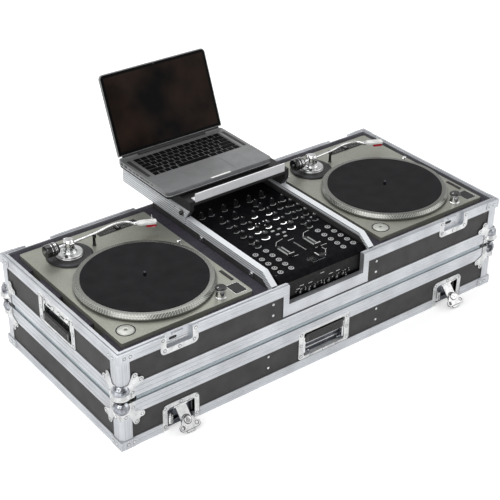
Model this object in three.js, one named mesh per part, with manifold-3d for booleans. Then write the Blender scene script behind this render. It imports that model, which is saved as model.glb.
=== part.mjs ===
// Coffin case for two turntables and a mixer, stacked for use on its own lid.
// Millimetres, +Z up. The lid stands open side down on the floor and carries the base tray.
// The decks, the mixer, the gliding shelf and the laptop stand in the case as they are used.
import * as THREE from 'three';
import { mergeVertices } from 'three/addons/utils/BufferGeometryUtils.js';
import Module from 'manifold-3d';

// Mixer and turntable plinths, with the room round them, which the case is built to
const mixerWidth = 267;
const mixerOffset = 4.5;
const mixerSideRoom = 5;
const deckDepth = 353;
const armSideWidth = 100;
const deckLength = deckDepth + armSideWidth;
const deckInnerRoom = 42;
const deckOuterRoom = 32;
const deckFrontRoom = 31.3;
const deckRearRoom = 36.7;
const bayHalfWidth = mixerWidth / 2 + mixerOffset + mixerSideRoom;
const bayWallThickness = 12;

// Whole case
const caseWidth = 2 * (bayHalfWidth + bayWallThickness + deckInnerRoom + deckDepth + deckOuterRoom);
const caseDepth = deckFrontRoom + deckLength + deckRearRoom;
const lidHeight = 122;
const stackGap = 13;
const baseHeight = 121;

// Clearances
const seatGap = 0.3;
const cutOverrun = 5;
const mergeDistance = 0.0001;

// Laminated boards
const boardThickness = 9;
const boardInset = 2.5;

// Aluminium edging
const edgeWall = 2.2;
const edgeLeg = 34;
const edgeFlange = 30;
const rimLeg = 25;
const rimInnerLeg = 14;
const rimWeb = 4.5;
const rimKeyWidth = 4;
const rimKeyDepth = 2;
const ribGroove = 0.7;
const edgeGrooveCount = 2;
const rimGrooveCount = 1;
const postLap = 4;
const postSetBack = 0.2;
const postLeg = 30;
const postRadius = 9;

// Cut-out in the base front, trimmed with channel
const notchHalfWidth = 115;
const notchDepth = 52;
const notchSideLeg = 17;
const notchFloorLeg = 30;

// Steel corner fittings
const cornerSteel = 1.6;
const plateReach = 38;
const plateShoulder = 24;
const lobeRadius = 7.5;
const lobeReach = 55.5;
const lobeMiddle = 40.5;
const ballRadius = 19;
const ballInset = 10;
const dimpleRadius = 12;
const dimpleDepth = 4;
const dimpleRise = 13;
const braceLength = 42;
const braceHeight = 23;
const braceRadius = 9;

// Sprung handles
const handleWidth = 160;
const handleHeight = 80;
const handleRadius = 8;
const handleSheet = 1.6;
const handleMouthWidth = 128;
const handleMouthHeight = 66;
const handleRecess = 12;
const handleRibHeight = 1.4;
const handleRibWidth = 3;
const handleRibCount = 4;
const handlePivotInset = 9;
const handlePivotDepth = 5.5;
const handlePinRadius = 2;
const bandHeight = 17;
const bailArmWidth = 5;
const bailArmDepth = 8;
const bailReach = 40;
const bailBarRadius = 3;
const bailPlay = 0.9;
const gripHeight = 24;
const gripDepth = 13;
const gripLift = 2;
const gripCorner = 4;
const gripGroove = 1.2;
const gripGrooveCount = 4;
const lidHandleHeight = 65.5;
const baseHandleHeight = 71;

// Torsion springs of handles and latches
const springWire = 1.2;
const springClearance = 0.5;
const springPitch = 2.1;
const springStepsPerTurn = 8;
const springSides = 5;
const springSink = 0.5;
const springFreeLeg = 8;
const handleSpringTurns = 1.75;
const latchSpringTurns = 2.25;

// Recessed butterfly latches in the lid
const latchPlateWidth = 100;
const latchPlateHeight = 71;
const latchPlateRadius = 15;
const latchMouthWidth = 74;
const latchMouthHeight = 59;
const latchSheet = 1.6;
const latchRecess = 14;
const latchFloorGap = 0.6;
const hingePinRadius = 1.6;
const hingeBoreRadius = 2.1;
const hingeKnuckleRadius = 3.4;
const hingeKnuckleLength = 36;
const hingeDrop = 6;
const hingeDepth = 4.8;
const haspWidth = 28;
const haspThickness = 2;
const haspLength = 66;
const haspHookWidth = 20;
const haspHookHeight = 5;
const haspHookDepth = 3;
const haspBossRadius = 9;
const haspBossHeight = 2.5;
const haspBossDrop = 38;
const haspOpenAngle = 42;
const keyThickness = 2;
const keyHubRadius = 7;
const keyHubHeight = 2;
const keyLobeRadius = 8;
const keyLobeSpread = 16;
const keyLobeDrop = 9;
const keyHoleRadius = 3.6;
const frontLatchInset = 160;
const rearLatchInset = 100;
const frontLatchOffset = caseWidth / 2 - frontLatchInset;
const rearOuterOffset = caseWidth / 2 - rearLatchInset;
const rearInnerOffset = 170;

// Recessed catches in the base rim
const catchWidth = 100;
const catchHeight = 46;
const catchRadius = 12;
const catchMouthWidth = 70;
const catchMouthHeight = 32;
const strikeWidth = 30;
const strikeHeight = 4;

// Foam
const lidFoamThickness = 24;
const lidFoamWallGap = 6;
const foamGap = 0.6;
const foamTopDrop = 7;
const foamPocketWidth = 92;
const foamPocketDepth = 38;
const foamPocketShares = [-0.3, 0, 0.3];

// Glide rails on the bay walls
const railRise = 28;
const railSheet = 1.8;
const railOuterLeg = 20;
const railInnerLeg = 9.5;
const railSlopeRun = 35;
const railFrontRise = 3;

// Gliding laptop shelf
const shelfLength = 298;
const shelfRestFront = 80;
const shelfSideHeight = 37;
const shelfBoard = 12;
const runnerHeight = 24;
const runnerThickness = 4.3;
const runnerGroove = 0.8;
const runnerGrooveCount = 4;
const runnerSlope = 16;
const guideDrop = 17;
const guideThickness = 3;
const lipHeight = 20;
const lipFoot = 16;
const lipSheet = 2;
const lipInset = 16;
const boltRadius = 5;
const boltLength = 6;
const boltPlate = 18;
const boltPlateThickness = 1.5;
const boltSetBack = 27;

// Laptop
const laptopWidth = 325;
const laptopDepth = 227;
const laptopBaseHeight = 22;
const laptopRadius = 12;
const laptopOffset = -33;
const laptopSetBack = 35.5;
const laptopFootHeight = 1.5;
const laptopFootRadius = 7;
const laptopFootInset = 24;
const keyboardWidth = 272;
const keyboardDepth = 104;
const keyboardBack = 26;
const keyboardRecess = 1.4;
const keyRows = 6;
const keyGap = 2.6;
const keyDrop = 0.4;
const trackpadWidth = 105;
const trackpadDepth = 72;
const trackpadGap = 14;
const trackpadRecess = 0.5;
const thumbNotchWidth = 60;
const thumbNotchDepth = 4;
const displayThickness = 6;
const displayHeight = 218;
const displayOpenAngle = 112;
const displayNeck = 6;
const displayNeckThickness = 3;
const displayLift = 0.8;
const displayHingeRise = 1;
const displayHingeRadius = 4;
const displayHingeWidth = 210;
const displayHingeInset = 9;
const screenBezel = 10;
const screenRecess = 0.6;

// Mixer
const mixerFrontRoom = 20.5;
const mixerFront = mixerFrontRoom - caseDepth / 2;
const mixerDepth = 416;
const mixerHeight = 85;
const mixerTopRise = 6;
const mixerBevelRun = 9;
const mixerBevelDrop = 10;
const controlSink = 0.5;
const knobRadius = 7;
const knobTopRadius = 5.6;
const knobHeight = 15;
const largeKnobRadius = 9;
const padRadius = 7.5;
const padHeight = 2.4;
const faderTravel = 44;
const faderStemLength = 6;
const faderStemThickness = 1.6;
const faderStemDepth = 5;
const faderSlotDepth = 6;
const faderCapLength = 9;
const faderCapWidth = 16;
const faderCapHeight = 9;
const faderCapTaper = 2;

// Turntables, with the places of their fittings as shares of the platter's radius from the spindle
const deckCentreX = bayHalfWidth + bayWallThickness + deckInnerRoom + deckDepth / 2;
const deckCentreY = deckFrontRoom + deckLength / 2 - caseDepth / 2;
const deckTopRise = 2.2;
const deckRadius = 5;
const deckPlinthHeight = 57;
const deckSkirtInset = 6;
const deckSkirtHeight = 30;
const deckFootRadius = 32;
const deckFootInset = 62;
const platterMargin = 10.5;
const platterEndMargin = 12.5;
const platterRadius = deckDepth / 2 - platterMargin;
const spindleX = platterEndMargin + platterRadius - deckLength / 2;
const spindleRadius = 3.6;
const spindleHeight = 27;
const spindleTip = 2;
const platterBevel = 6;
const platterTopRadius = platterRadius - platterBevel;
const platterHeight = 15;
const platterSkirt = 7;
const platterLift = 2;
const platterHubRadius = 24;
const matMargin = 11;
const matRadius = platterTopRadius - matMargin;
const matThickness = 2.5;
const matProud = 1;
const matPlay = 1;
const pivotShares = [1.205, 0.494];
const pivotX = spindleX + pivotShares[0] * platterRadius;
const pivotY = pivotShares[1] * platterRadius;
const armRingShare = 0.295;
const armRingRadius = armRingShare * platterRadius;
const armRingHeight = 5;
const armDialShare = 0.735;
const armDialRadius = armDialShare * armRingRadius;
const armDialHeight = 13;
const armColumnRadius = 15;
const armColumnHeight = 22;
const gimbalRadius = 13;
const gimbalHeight = 45;
const armTubeRadius = 4;
const armTubeLevel = 32;
const armLengthShare = 1.084;
const armLength = armLengthShare * platterRadius;
const shellLength = 52;
const shellWidth = 17;
const shellThickness = 5;
const shellAngle = 24.7;
const cartridgeLength = 24;
const cartridgeWidth = 12;
const cartridgeHeight = 8;
const tailLength = 66;
const weightRadius = 16;
const weightLength = 30;
const restPostRadius = 4;
const restPostWidth = 12;
const startLength = 38;
const startDepth = 30;
const startHeight = 5;
const startProud = 1;
const startTravel = 2;
const startShares = [-0.892, -0.916];
const startX = spindleX + startShares[0] * platterRadius;
const startY = startShares[1] * platterRadius;
const towerShares = [-0.934, -0.614];
const towerX = spindleX + towerShares[0] * platterRadius;
const towerY = towerShares[1] * platterRadius;
const towerRadius = 12;
const towerCapRadius = 13.5;
const towerCapHeight = 7;
const towerHeight = 27;
const lightShares = [0.542, -0.952];
const lightX = spindleX + lightShares[0] * platterRadius;
const lightY = lightShares[1] * platterRadius;
const lightRadius = 5;
const lightHeight = 13;
const speedShares = [-0.548, -0.994];
const speedX = spindleX + speedShares[0] * platterRadius;
const speedY = speedShares[1] * platterRadius;
const speedLength = 24;
const speedWidth = 8;
const speedHeight = 1.6;
const adapterShares = [-0.843, 0.855];
const adapterX = spindleX + adapterShares[0] * platterRadius;
const adapterY = adapterShares[1] * platterRadius;
const adapterRadius = 19;
const adapterHeight = 3;
const pitchEndMargin = 29.5;
const pitchX = deckLength / 2 - pitchEndMargin;
const pitchShare = -0.47;
const pitchY = pitchShare * platterRadius;
const pitchLength = 112;
const pitchWidth = 24;
const pitchHeight = 1.2;
const pitchCapLength = 14;
const pitchCapWidth = 18;
const pitchCapHeight = 7;

// Facets
const cornerFacets = 2;
const lobeFacets = 3;
const ballFacets = 10;
const ballRings = 6;
const postFacets = 1;
const rodFacets = 6;
const smallFacets = 8;
const padFacets = 6;
const discFacets = 12;
const ringFacets = 20;
const platterFacets = 28;
const armSteps = 8;

// Colours of the finishes
const finishes = {
  laminate: { color: 0x474747, roughness: 0.75, metalness: 0 },
  aluminium: { color: 0xd3d5d8, roughness: 0.4, metalness: 0.9 },
  steel: { color: 0xe2e2de, roughness: 0.3, metalness: 0.9 },
  chrome: { color: 0xdadde2, roughness: 0.12, metalness: 1 },
  grip: { color: 0x1b1b1b, roughness: 0.6, metalness: 0 },
  foam: { color: 0x45424a, roughness: 1, metalness: 0 },
  shelf: { color: 0x222222, roughness: 0.9, metalness: 0 },
  mixer: { color: 0x161616, roughness: 0.55, metalness: 0.2 },
  faderCap: { color: 0xe8e8e8, roughness: 0.5, metalness: 0 },
  deck: { color: 0x9a9c88, roughness: 0.45, metalness: 0.6 },
  platter: { color: 0xb9bab2, roughness: 0.35, metalness: 0.9 },
  felt: { color: 0x1d1d1f, roughness: 1, metalness: 0 },
  laptop: { color: 0x9b9b9b, roughness: 0.4, metalness: 0.7 },
};

// Places of the mixer controls, as shares of the mixer's width and depth from its centre line
// and its front edge
const knobShares = [
  [-0.403, 0.829], [-0.298, 0.829], [-0.298, 0.716], [-0.298, 0.649], [-0.298, 0.579],
  [-0.298, 0.51], [-0.301, 0.428], [-0.298, 0.37], [-0.144, 0.829], [-0.144, 0.716],
  [-0.144, 0.639], [-0.144, 0.566], [-0.14, 0.501], [0.002, 0.829], [0.006, 0.657],
  [-0.002, 0.513], [0.155, 0.829], [0.155, 0.764], [0.155, 0.71], [0.155, 0.638],
  [0.155, 0.569], [0.159, 0.501], [0.309, 0.829], [0.301, 0.718], [0.309, 0.653],
  [0.313, 0.581], [0.305, 0.508], [0.305, 0.428], [0.309, 0.371], [0.421, 0.718],
  [0.429, 0.642], [0.433, 0.572], [0.433, 0.502], [0.436, 0.418],
];
const largeKnobShares = [[0.163, 0.429], [-0.144, 0.424]];
const padColumnShares = [-0.406, -0.287, 0.32, 0.438];
const padRowShares = [0.067, 0.121, 0.178, 0.236, 0.296];
const channelFaderShares = [[-0.152, 0.223], [0.152, 0.223]];
const crossfaderShare = [0.017, 0.077];

// Bends of the tonearm tube from its pivot, as shares of the arm's length
const armBendShares = [[0, 0], [0.035, -0.4], [0.089, -0.711], [0.045, -0.922], [-0.067, -0.983]];

const wasm = await Module();
wasm.setup();

const halfTurn = Math.PI;
const quarterTurn = Math.PI / 2;
const xAxis = new THREE.Vector3(1, 0, 0);
const yAxis = new THREE.Vector3(0, 1, 0);
const zAxis = new THREE.Vector3(0, 0, 1);

// Solids. Each is a closed indexed geometry that holds positions only.
function signedVolume(geometry) {
  const place = geometry.attributes.position;
  const order = geometry.index.array;
  const a = new THREE.Vector3();
  const b = new THREE.Vector3();
  const c = new THREE.Vector3();
  let total = 0;
  for (let i = 0; i < order.length; i += 3) {
    a.fromBufferAttribute(place, order[i]);
    b.fromBufferAttribute(place, order[i + 1]);
    c.fromBufferAttribute(place, order[i + 2]);
    total += a.dot(b.cross(c));
  }
  return total;
}

function closed(geometry) {
  const bare = geometry.clone();
  bare.deleteAttribute('normal');
  bare.deleteAttribute('uv');
  const merged = mergeVertices(bare, mergeDistance);
  const order = Uint32Array.from(merged.index.array);
  merged.setIndex(new THREE.BufferAttribute(order, 1));
  if (signedVolume(merged) < 0) {
    for (let i = 0; i < order.length; i += 3) {
      [order[i + 1], order[i + 2]] = [order[i + 2], order[i + 1]];
    }
  }
  return merged;
}

function toManifold(solid) {
  const vertProperties = Float32Array.from(solid.attributes.position.array);
  const triVerts = Uint32Array.from(solid.index.array);
  return new wasm.Manifold(new wasm.Mesh({ numProp: 3, vertProperties, triVerts }));
}

function fromManifold(body) {
  const mesh = body.asOriginal().simplify(mergeDistance).getMesh();
  const solid = new THREE.BufferGeometry();
  const places = Float32Array.from(mesh.vertProperties);
  solid.setAttribute('position', new THREE.BufferAttribute(places, mesh.numProp));
  solid.setIndex(new THREE.BufferAttribute(Uint32Array.from(mesh.triVerts), 1));
  return solid;
}

function join(...solids) {
  return fromManifold(solids.map(toManifold).reduce((all, next) => all.add(next)));
}

function cut(solid, ...tools) {
  const rest = tools.map(toManifold).reduce((left, tool) => left.subtract(tool), toManifold(solid));
  return fromManifold(rest);
}

function moved(solid, x, y, z) {
  return solid.clone().translate(x, y, z);
}

function scaled(solid, signX, signY, signZ) {
  return closed(solid.clone().scale(signX, signY, signZ));
}

function turned(solid, axis, angle) {
  return closed(solid.clone().applyMatrix4(new THREE.Matrix4().makeRotationAxis(axis, angle)));
}

function block(x0, x1, y0, y1, z0, z1) {
  const box = new THREE.BoxGeometry(Math.abs(x1 - x0), Math.abs(y1 - y0), Math.abs(z1 - z0));
  return closed(box.translate((x0 + x1) / 2, (y0 + y1) / 2, (z0 + z1) / 2));
}

function extruded(outline, length, facets) {
  const shape = outline instanceof THREE.Shape
    ? outline
    : new THREE.Shape(outline.map(([a, b]) => new THREE.Vector2(a, b)));
  const options = { depth: Math.abs(length), bevelEnabled: false, curveSegments: facets };
  return new THREE.ExtrudeGeometry(shape, options);
}

// Prisms of an outline that lies across the named axis
function prismX(outline, x0, x1, facets = cornerFacets) {
  const bar = extruded(outline, x1 - x0, facets);
  bar.applyMatrix4(new THREE.Matrix4().makeBasis(yAxis, zAxis, xAxis));
  return closed(bar.translate(Math.min(x0, x1), 0, 0));
}

function prismY(outline, y0, y1, facets = cornerFacets) {
  const bar = extruded(outline, y1 - y0, facets);
  bar.applyMatrix4(new THREE.Matrix4().makeBasis(xAxis, zAxis, yAxis.clone().negate()));
  return closed(bar.translate(0, Math.max(y0, y1), 0));
}

function prismZ(outline, z0, z1, facets = cornerFacets) {
  return closed(extruded(outline, z1 - z0, facets).translate(0, 0, Math.min(z0, z1)));
}

function roundedOutline(width, height, lowRadius, highRadius) {
  const shape = new THREE.Shape();
  const right = width / 2;
  const top = height / 2;
  shape.moveTo(-right + lowRadius, -top);
  shape.lineTo(right - lowRadius, -top);
  if (lowRadius > 0) shape.absarc(right - lowRadius, -top + lowRadius, lowRadius, -quarterTurn, 0);
  shape.lineTo(right, top - highRadius);
  if (highRadius > 0) shape.absarc(right - highRadius, top - highRadius, highRadius, 0, quarterTurn);
  shape.lineTo(-right + highRadius, top);
  if (highRadius > 0) {
    shape.absarc(-right + highRadius, top - highRadius, highRadius, quarterTurn, halfTurn);
  }
  shape.lineTo(-right, -top + lowRadius);
  if (lowRadius > 0) {
    shape.absarc(-right + lowRadius, -top + lowRadius, lowRadius, halfTurn, halfTurn + quarterTurn);
  }
  return shape;
}

function rodZ(radius, z0, z1, facets, topRadius = radius) {
  const rod = new THREE.CylinderGeometry(topRadius, radius, z1 - z0, facets);
  return closed(rod.rotateX(quarterTurn).translate(0, 0, (z0 + z1) / 2));
}

function rodX(radius, x0, x1, facets) {
  const rod = new THREE.CylinderGeometry(radius, radius, Math.abs(x1 - x0), facets);
  return closed(rod.rotateZ(quarterTurn).translate((x0 + x1) / 2, 0, 0));
}

function rodY(radius, y0, y1, facets) {
  const rod = new THREE.CylinderGeometry(radius, radius, Math.abs(y1 - y0), facets);
  return closed(rod.translate(0, (y0 + y1) / 2, 0));
}

function revolved(profile, facets) {
  const points = profile.map(([radius, height]) => new THREE.Vector2(radius, height));
  return closed(new THREE.LatheGeometry(points, facets).rotateX(quarterTurn));
}

function ball(radius, x, y, z) {
  return closed(new THREE.SphereGeometry(radius, ballFacets, ballRings).translate(x, y, z));
}

function addNode(parent, name, solid, finish) {
  const mesh = new THREE.Mesh(solid, new THREE.MeshStandardMaterial(finishes[finish]));
  mesh.name = name;
  parent.add(mesh);
}

// Levels and faces that the pieces share
const halfWidth = caseWidth / 2;
const halfDepth = caseDepth / 2;
const baseBottom = lidHeight + stackGap;
const baseTop = baseBottom + baseHeight;
const boardOuterX = halfWidth - boardInset;
const boardOuterY = halfDepth - boardInset;
const boardInnerX = boardOuterX - boardThickness;
const boardInnerY = boardOuterY - boardThickness;
const boardRadius = postRadius - boardInset;
const rimWidth = boardInset + boardThickness + seatGap + edgeWall;
const floorTop = baseBottom + boardInset + boardThickness;
const notchFloor = baseTop - notchDepth;
const plateBackX = boardOuterX + seatGap;
const plateBackY = boardOuterY + seatGap;
const rimInnerFace = halfDepth - rimWidth;
const roomX = plateBackX - handleRecess - seatGap;
const roomY = rimInnerFace - seatGap;

// A mount is the place of a recessed fitting, which is made facing -Y round its own origin
function frontMount(x, z) {
  const mount = new THREE.Group();
  mount.position.set(x, -plateBackY, z);
  return mount;
}

function rearMount(x, z) {
  const mount = new THREE.Group();
  mount.position.set(x, plateBackY, z);
  mount.rotation.z = halfTurn;
  return mount;
}

function sideMount(side, z) {
  const mount = new THREE.Group();
  mount.position.set(side * plateBackX, 0, z);
  mount.rotation.set(0, halfTurn, side * quarterTurn, 'ZYX');
  return mount;
}

function placed(solid, mount) {
  mount.updateMatrix();
  return closed(solid.clone().applyMatrix4(mount.matrix));
}

// Boards
function boardOutline() {
  return roundedOutline(boardOuterX * 2, boardOuterY * 2, boardRadius, boardRadius);
}

function boardFrame(z0, z1) {
  const room = block(-boardInnerX, boardInnerX, -boardInnerY, boardInnerY, z0 - cutOverrun,
    z1 + cutOverrun);
  return cut(prismZ(boardOutline(), z0, z1, postFacets), room);
}

// Edging profiles, in distances inward and along the leg from the outer edge
function groovedLeg(leg, count) {
  const points = [];
  const spacing = leg / (count + 1);
  for (let i = count; i > 0; i -= 1) {
    points.push([0, i * spacing + ribGroove]);
    points.push([ribGroove, i * spacing]);
    points.push([0, i * spacing - ribGroove]);
  }
  return points;
}

function angleProfile() {
  return [
    [0, 0], [edgeFlange, 0], [edgeFlange, edgeWall], [edgeWall, edgeWall], [edgeWall, edgeLeg],
    [0, edgeLeg], ...groovedLeg(edgeLeg, edgeGrooveCount),
  ];
}

// The lid's rim has a groove, and the base's rim the tongue that fits it
function rimProfile(keyReach) {
  const keyStart = (rimWidth - rimKeyWidth) / 2;
  const keyEnd = keyStart + rimKeyWidth;
  return [
    [0, 0], [keyStart, 0], [keyStart, keyReach], [keyEnd, keyReach], [keyEnd, 0], [rimWidth, 0],
    [rimWidth, rimInnerLeg], [rimWidth - edgeWall, rimInnerLeg], [rimWidth - edgeWall, rimWeb],
    [edgeWall, rimWeb], [edgeWall, rimLeg], [0, rimLeg], ...groovedLeg(rimLeg, rimGrooveCount),
  ];
}

// Four bars of one profile, mitred at the corners of the case
function edgeRing(profile, edgeZ, up) {
  const corners = [[-1, -1], [1, -1], [1, 1], [-1, 1]];
  const positions = corners.flatMap(([x, y]) => profile.flatMap(([a, b]) => [
    x * (halfWidth - a), y * (halfDepth - a), edgeZ + up * b,
  ]));
  const count = profile.length;
  const order = [];
  for (let corner = 0; corner < corners.length; corner += 1) {
    const here = corner * count;
    const there = ((corner + 1) % corners.length) * count;
    for (let i = 0; i < count; i += 1) {
      const next = (i + 1) % count;
      order.push(here + i, there + i, there + next, here + i, there + next, here + next);
    }
  }
  const ring = new THREE.BufferGeometry();
  ring.setAttribute('position', new THREE.BufferAttribute(Float32Array.from(positions), 3));
  ring.setIndex(order);
  return closed(ring);
}

// Corner angle, set back a little behind the faces of the bars that it is riveted to
function cornerPost(z0, z1) {
  const shape = new THREE.Shape();
  const face = postSetBack;
  const back = edgeWall - postSetBack;
  shape.moveTo(face, postLeg);
  shape.lineTo(face, postRadius);
  shape.absarc(postRadius, postRadius, postRadius - face, halfTurn, halfTurn + quarterTurn);
  shape.lineTo(postLeg, face);
  shape.lineTo(postLeg, back);
  shape.lineTo(postRadius, back);
  shape.absarc(postRadius, postRadius, postRadius - back, halfTurn + quarterTurn, halfTurn, true);
  shape.lineTo(back, postLeg);
  return prismZ(shape, z0, z1, postFacets);
}

// Carries a piece made for the corner at the origin, with the case in the positive octant
function atCorner(solid, sideX, sideY, edgeZ, up) {
  const facing = scaled(solid, -sideX, -sideY, up);
  return moved(facing, sideX * halfWidth, sideY * halfDepth, edgeZ);
}

function atAllCorners(solid, edgeZ, up) {
  return [-1, 1].flatMap((x) => [-1, 1].map((y) => atCorner(solid, x, y, edgeZ, up)));
}

// Steel corner fittings
function lobedOutline() {
  const reach = cornerSteel + seatGap;
  const shape = new THREE.Shape();
  shape.moveTo(-reach, -reach);
  shape.lineTo(plateReach, -reach);
  shape.lineTo(plateReach, plateShoulder);
  shape.absarc(lobeReach, lobeMiddle, lobeRadius, -quarterTurn * 0.6, quarterTurn * 1.3);
  shape.absarc(lobeMiddle, lobeReach, lobeRadius, -quarterTurn * 0.3, quarterTurn * 1.6);
  shape.lineTo(plateShoulder, plateReach);
  shape.lineTo(-reach, plateReach);
  return shape;
}

function cornerPlates() {
  const outer = cornerSteel + seatGap;
  const outline = lobedOutline();
  return [
    prismX(outline, -outer, -seatGap, lobeFacets),
    prismY(outline, -outer, -seatGap, lobeFacets),
    prismZ(outline, -outer, -seatGap, lobeFacets),
  ];
}

function caseOctant() {
  const reach = lobeReach * 2;
  return block(-seatGap, reach, -seatGap, reach, -seatGap, reach);
}

function ballCorner() {
  const knob = ball(ballRadius, ballInset, ballInset, ballInset);
  return cut(join(...cornerPlates(), knob), caseOctant());
}

// The base's lower corner is dished underneath for the ball of the lid that it stands on
function cupCorner() {
  const knob = ball(ballRadius, ballInset, ballInset, ballInset);
  const restingBall = ball(ballRadius + seatGap, ballInset, ballInset, -stackGap - ballInset);
  const girth = Math.sqrt(ballRadius ** 2 - dimpleRise ** 2);
  const dimplePlace = ballInset - (girth + dimpleRadius - dimpleDepth) / Math.SQRT2;
  const dimple = ball(dimpleRadius, dimplePlace, dimplePlace, ballInset + dimpleRise);
  return cut(join(...cornerPlates(), knob), caseOctant(), restingBall, dimple);
}

// Two-legged brace on a rim corner, let into the edging that carries it
function rimBrace() {
  const outline = new THREE.Shape();
  const straight = braceLength - braceRadius;
  outline.moveTo(-cornerSteel, 0);
  outline.lineTo(straight, 0);
  outline.absarc(straight, braceRadius, braceRadius, -quarterTurn, 0);
  outline.absarc(straight, braceHeight - braceRadius, braceRadius, 0, quarterTurn);
  outline.lineTo(-cornerSteel, braceHeight);
  const inner = edgeWall / 2;
  return join(prismX(outline, -cornerSteel, inner), prismY(outline, -cornerSteel, inner));
}

// Sprung handle. The bail turns on two pins near the lower end of the mouth.
const pivotLevel = -handleMouthHeight / 2 + handlePivotInset;
const pivotDepth = handlePivotDepth - handleSheet;
const handleFloor = handleRecess - handleSheet;
const handleMouthX = handleMouthWidth / 2;
const handleMouthZ = handleMouthHeight / 2;
const armOuterX = handleMouthX - bailPlay;
const armInnerX = armOuterX - bailArmWidth;

// Steel wire spring round a pin along x: a leg towards the dish floor, the turns, a free leg
function springPath(pinRadius, turns, fixedLeg) {
  const radius = pinRadius + springClearance + springWire / 2;
  const steps = turns * springStepsPerTurn;
  const points = [];
  for (let i = 0; i <= steps; i += 1) {
    const angle = quarterTurn + (i / springStepsPerTurn) * halfTurn * 2;
    const outward = new THREE.Vector3(0, Math.cos(angle), Math.sin(angle));
    const forward = new THREE.Vector3(0, -Math.sin(angle), Math.cos(angle));
    const centre = outward.clone().multiplyScalar(radius);
    centre.x = (springPitch * i) / springStepsPerTurn;
    if (i === 0) {
      points.push({ centre: centre.clone().addScaledVector(forward, -fixedLeg), outward });
    }
    points.push({ centre, outward });
    if (i === steps) {
      points.push({ centre: centre.clone().addScaledVector(forward, springFreeLeg), outward });
    }
  }
  return points;
}

function springTube(path) {
  const positions = [];
  const order = [];
  for (const { centre, outward } of path) {
    for (let k = 0; k < springSides; k += 1) {
      const round = (k / springSides) * halfTurn * 2;
      const point = centre.clone()
        .addScaledVector(outward, Math.cos(round) * springWire / 2)
        .addScaledVector(xAxis, Math.sin(round) * springWire / 2);
      positions.push(point.x, point.y, point.z);
    }
  }
  const last = (path.length - 1) * springSides;
  for (let a = 0; a < last; a += springSides) {
    const b = a + springSides;
    for (let k = 0; k < springSides; k += 1) {
      const next = (k + 1) % springSides;
      order.push(a + k, b + k, b + next, a + k, b + next, a + next);
    }
  }
  for (let k = 1; k < springSides - 1; k += 1) {
    order.push(0, k, k + 1);
    order.push(last, last + k + 1, last + k);
  }
  const wire = new THREE.BufferGeometry();
  wire.setAttribute('position', new THREE.BufferAttribute(Float32Array.from(positions), 3));
  wire.setIndex(order);
  return closed(wire);
}

function leastSpringGap(path) {
  let least = Infinity;
  for (let i = 0; i < path.length; i += 1) {
    for (let j = i + springStepsPerTurn / 2; j < path.length; j += 1) {
      least = Math.min(least, path[i].centre.distanceTo(path[j].centre) - springWire);
    }
  }
  return least;
}

const handleSpringPath = springPath(handlePinRadius, handleSpringTurns,
  handleFloor - pivotDepth + springSink);
const latchFloor = latchRecess - latchSheet;
const hingeY = hingeDepth - latchSheet;
const latchSpringPath = springPath(hingePinRadius, latchSpringTurns,
  latchFloor - hingeY + springSink);

// The band of a side handle covers its pivots, with a slot for each arm
function pivotBand() {
  const low = -handleMouthZ - handleSheet / 2;
  const band = block(-handleMouthX - handleSheet / 2, handleMouthX + handleSheet / 2, -handleSheet, 0,
    low, low + bandHeight);
  const slots = [-1, 1].map((side) => block(side * (armInnerX - seatGap * 2),
    side * (armOuterX + seatGap * 2), -handleSheet * 2, handleSheet, pivotLevel - bailArmDepth,
    handleMouthZ));
  return cut(band, ...slots);
}

function handleDish(springEnds, banded) {
  const plate = prismY(roundedOutline(handleWidth, handleHeight, handleRadius, handleRadius),
    -handleSheet, 0);
  const pan = block(-handleMouthX - handleSheet, handleMouthX + handleSheet, -handleSheet / 2,
    handleRecess, -handleMouthZ - handleSheet, handleMouthZ + handleSheet);
  const hollow = block(-handleMouthX, handleMouthX, -handleSheet * 2, handleFloor, -handleMouthZ,
    handleMouthZ);
  const ribX = armInnerX - handleRibWidth;
  const ribs = [];
  for (let i = 1; i <= handleRibCount; i += 1) {
    const level = -handleMouthZ + (handleMouthHeight * i) / (handleRibCount + 1);
    ribs.push(block(-ribX, ribX, handleFloor - handleRibHeight, handleFloor + handleSheet / 2,
      level - handleRibWidth / 2, level + handleRibWidth / 2));
  }
  const springLength = springPitch * handleSpringTurns;
  const spring = moved(springTube(handleSpringPath), armInnerX - seatGap - springWire - springLength,
    pivotDepth, pivotLevel);
  const pinEnd = armInnerX - springLength - springWire * 3;
  const pins = [-1, 1].map((side) => moved(rodX(handlePinRadius, side * pinEnd,
    side * (handleMouthX + handleSheet / 2), rodFacets), 0, pivotDepth, pivotLevel));
  const springs = springEnds.map((side) => scaled(spring, side, 1, 1));
  const bands = banded ? [pivotBand()] : [];
  return join(cut(join(plate, pan), hollow), ...ribs, ...pins, ...springs, ...bands);
}

function handlePocket() {
  const spread = handleSheet + seatGap;
  const hole = block(-handleMouthX - spread, handleMouthX + spread, -cutOverrun,
    handleRecess + cutOverrun, -handleMouthZ - spread, handleMouthZ + spread);
  const plate = prismY(roundedOutline(handleWidth + seatGap * 2, handleHeight + seatGap * 2,
    handleRadius, handleRadius), -cutOverrun, seatGap);
  return [hole, plate];
}

function handleBail() {
  const half = bailArmDepth / 2;
  const bar = moved(rodX(bailBarRadius, -armOuterX + bailArmWidth / 2, armOuterX - bailArmWidth / 2,
    rodFacets), 0, pivotDepth, pivotLevel + bailReach);
  const arms = [-1, 1].map((side) => block(side * armInnerX, side * armOuterX, pivotDepth - half,
    pivotDepth + half, pivotLevel - half, pivotLevel + bailReach + half));
  const bore = moved(rodX(handlePinRadius + seatGap * 2, -handleMouthX, handleMouthX, rodFacets),
    0, pivotDepth, pivotLevel);
  return cut(join(bar, ...arms), bore);
}

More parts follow.
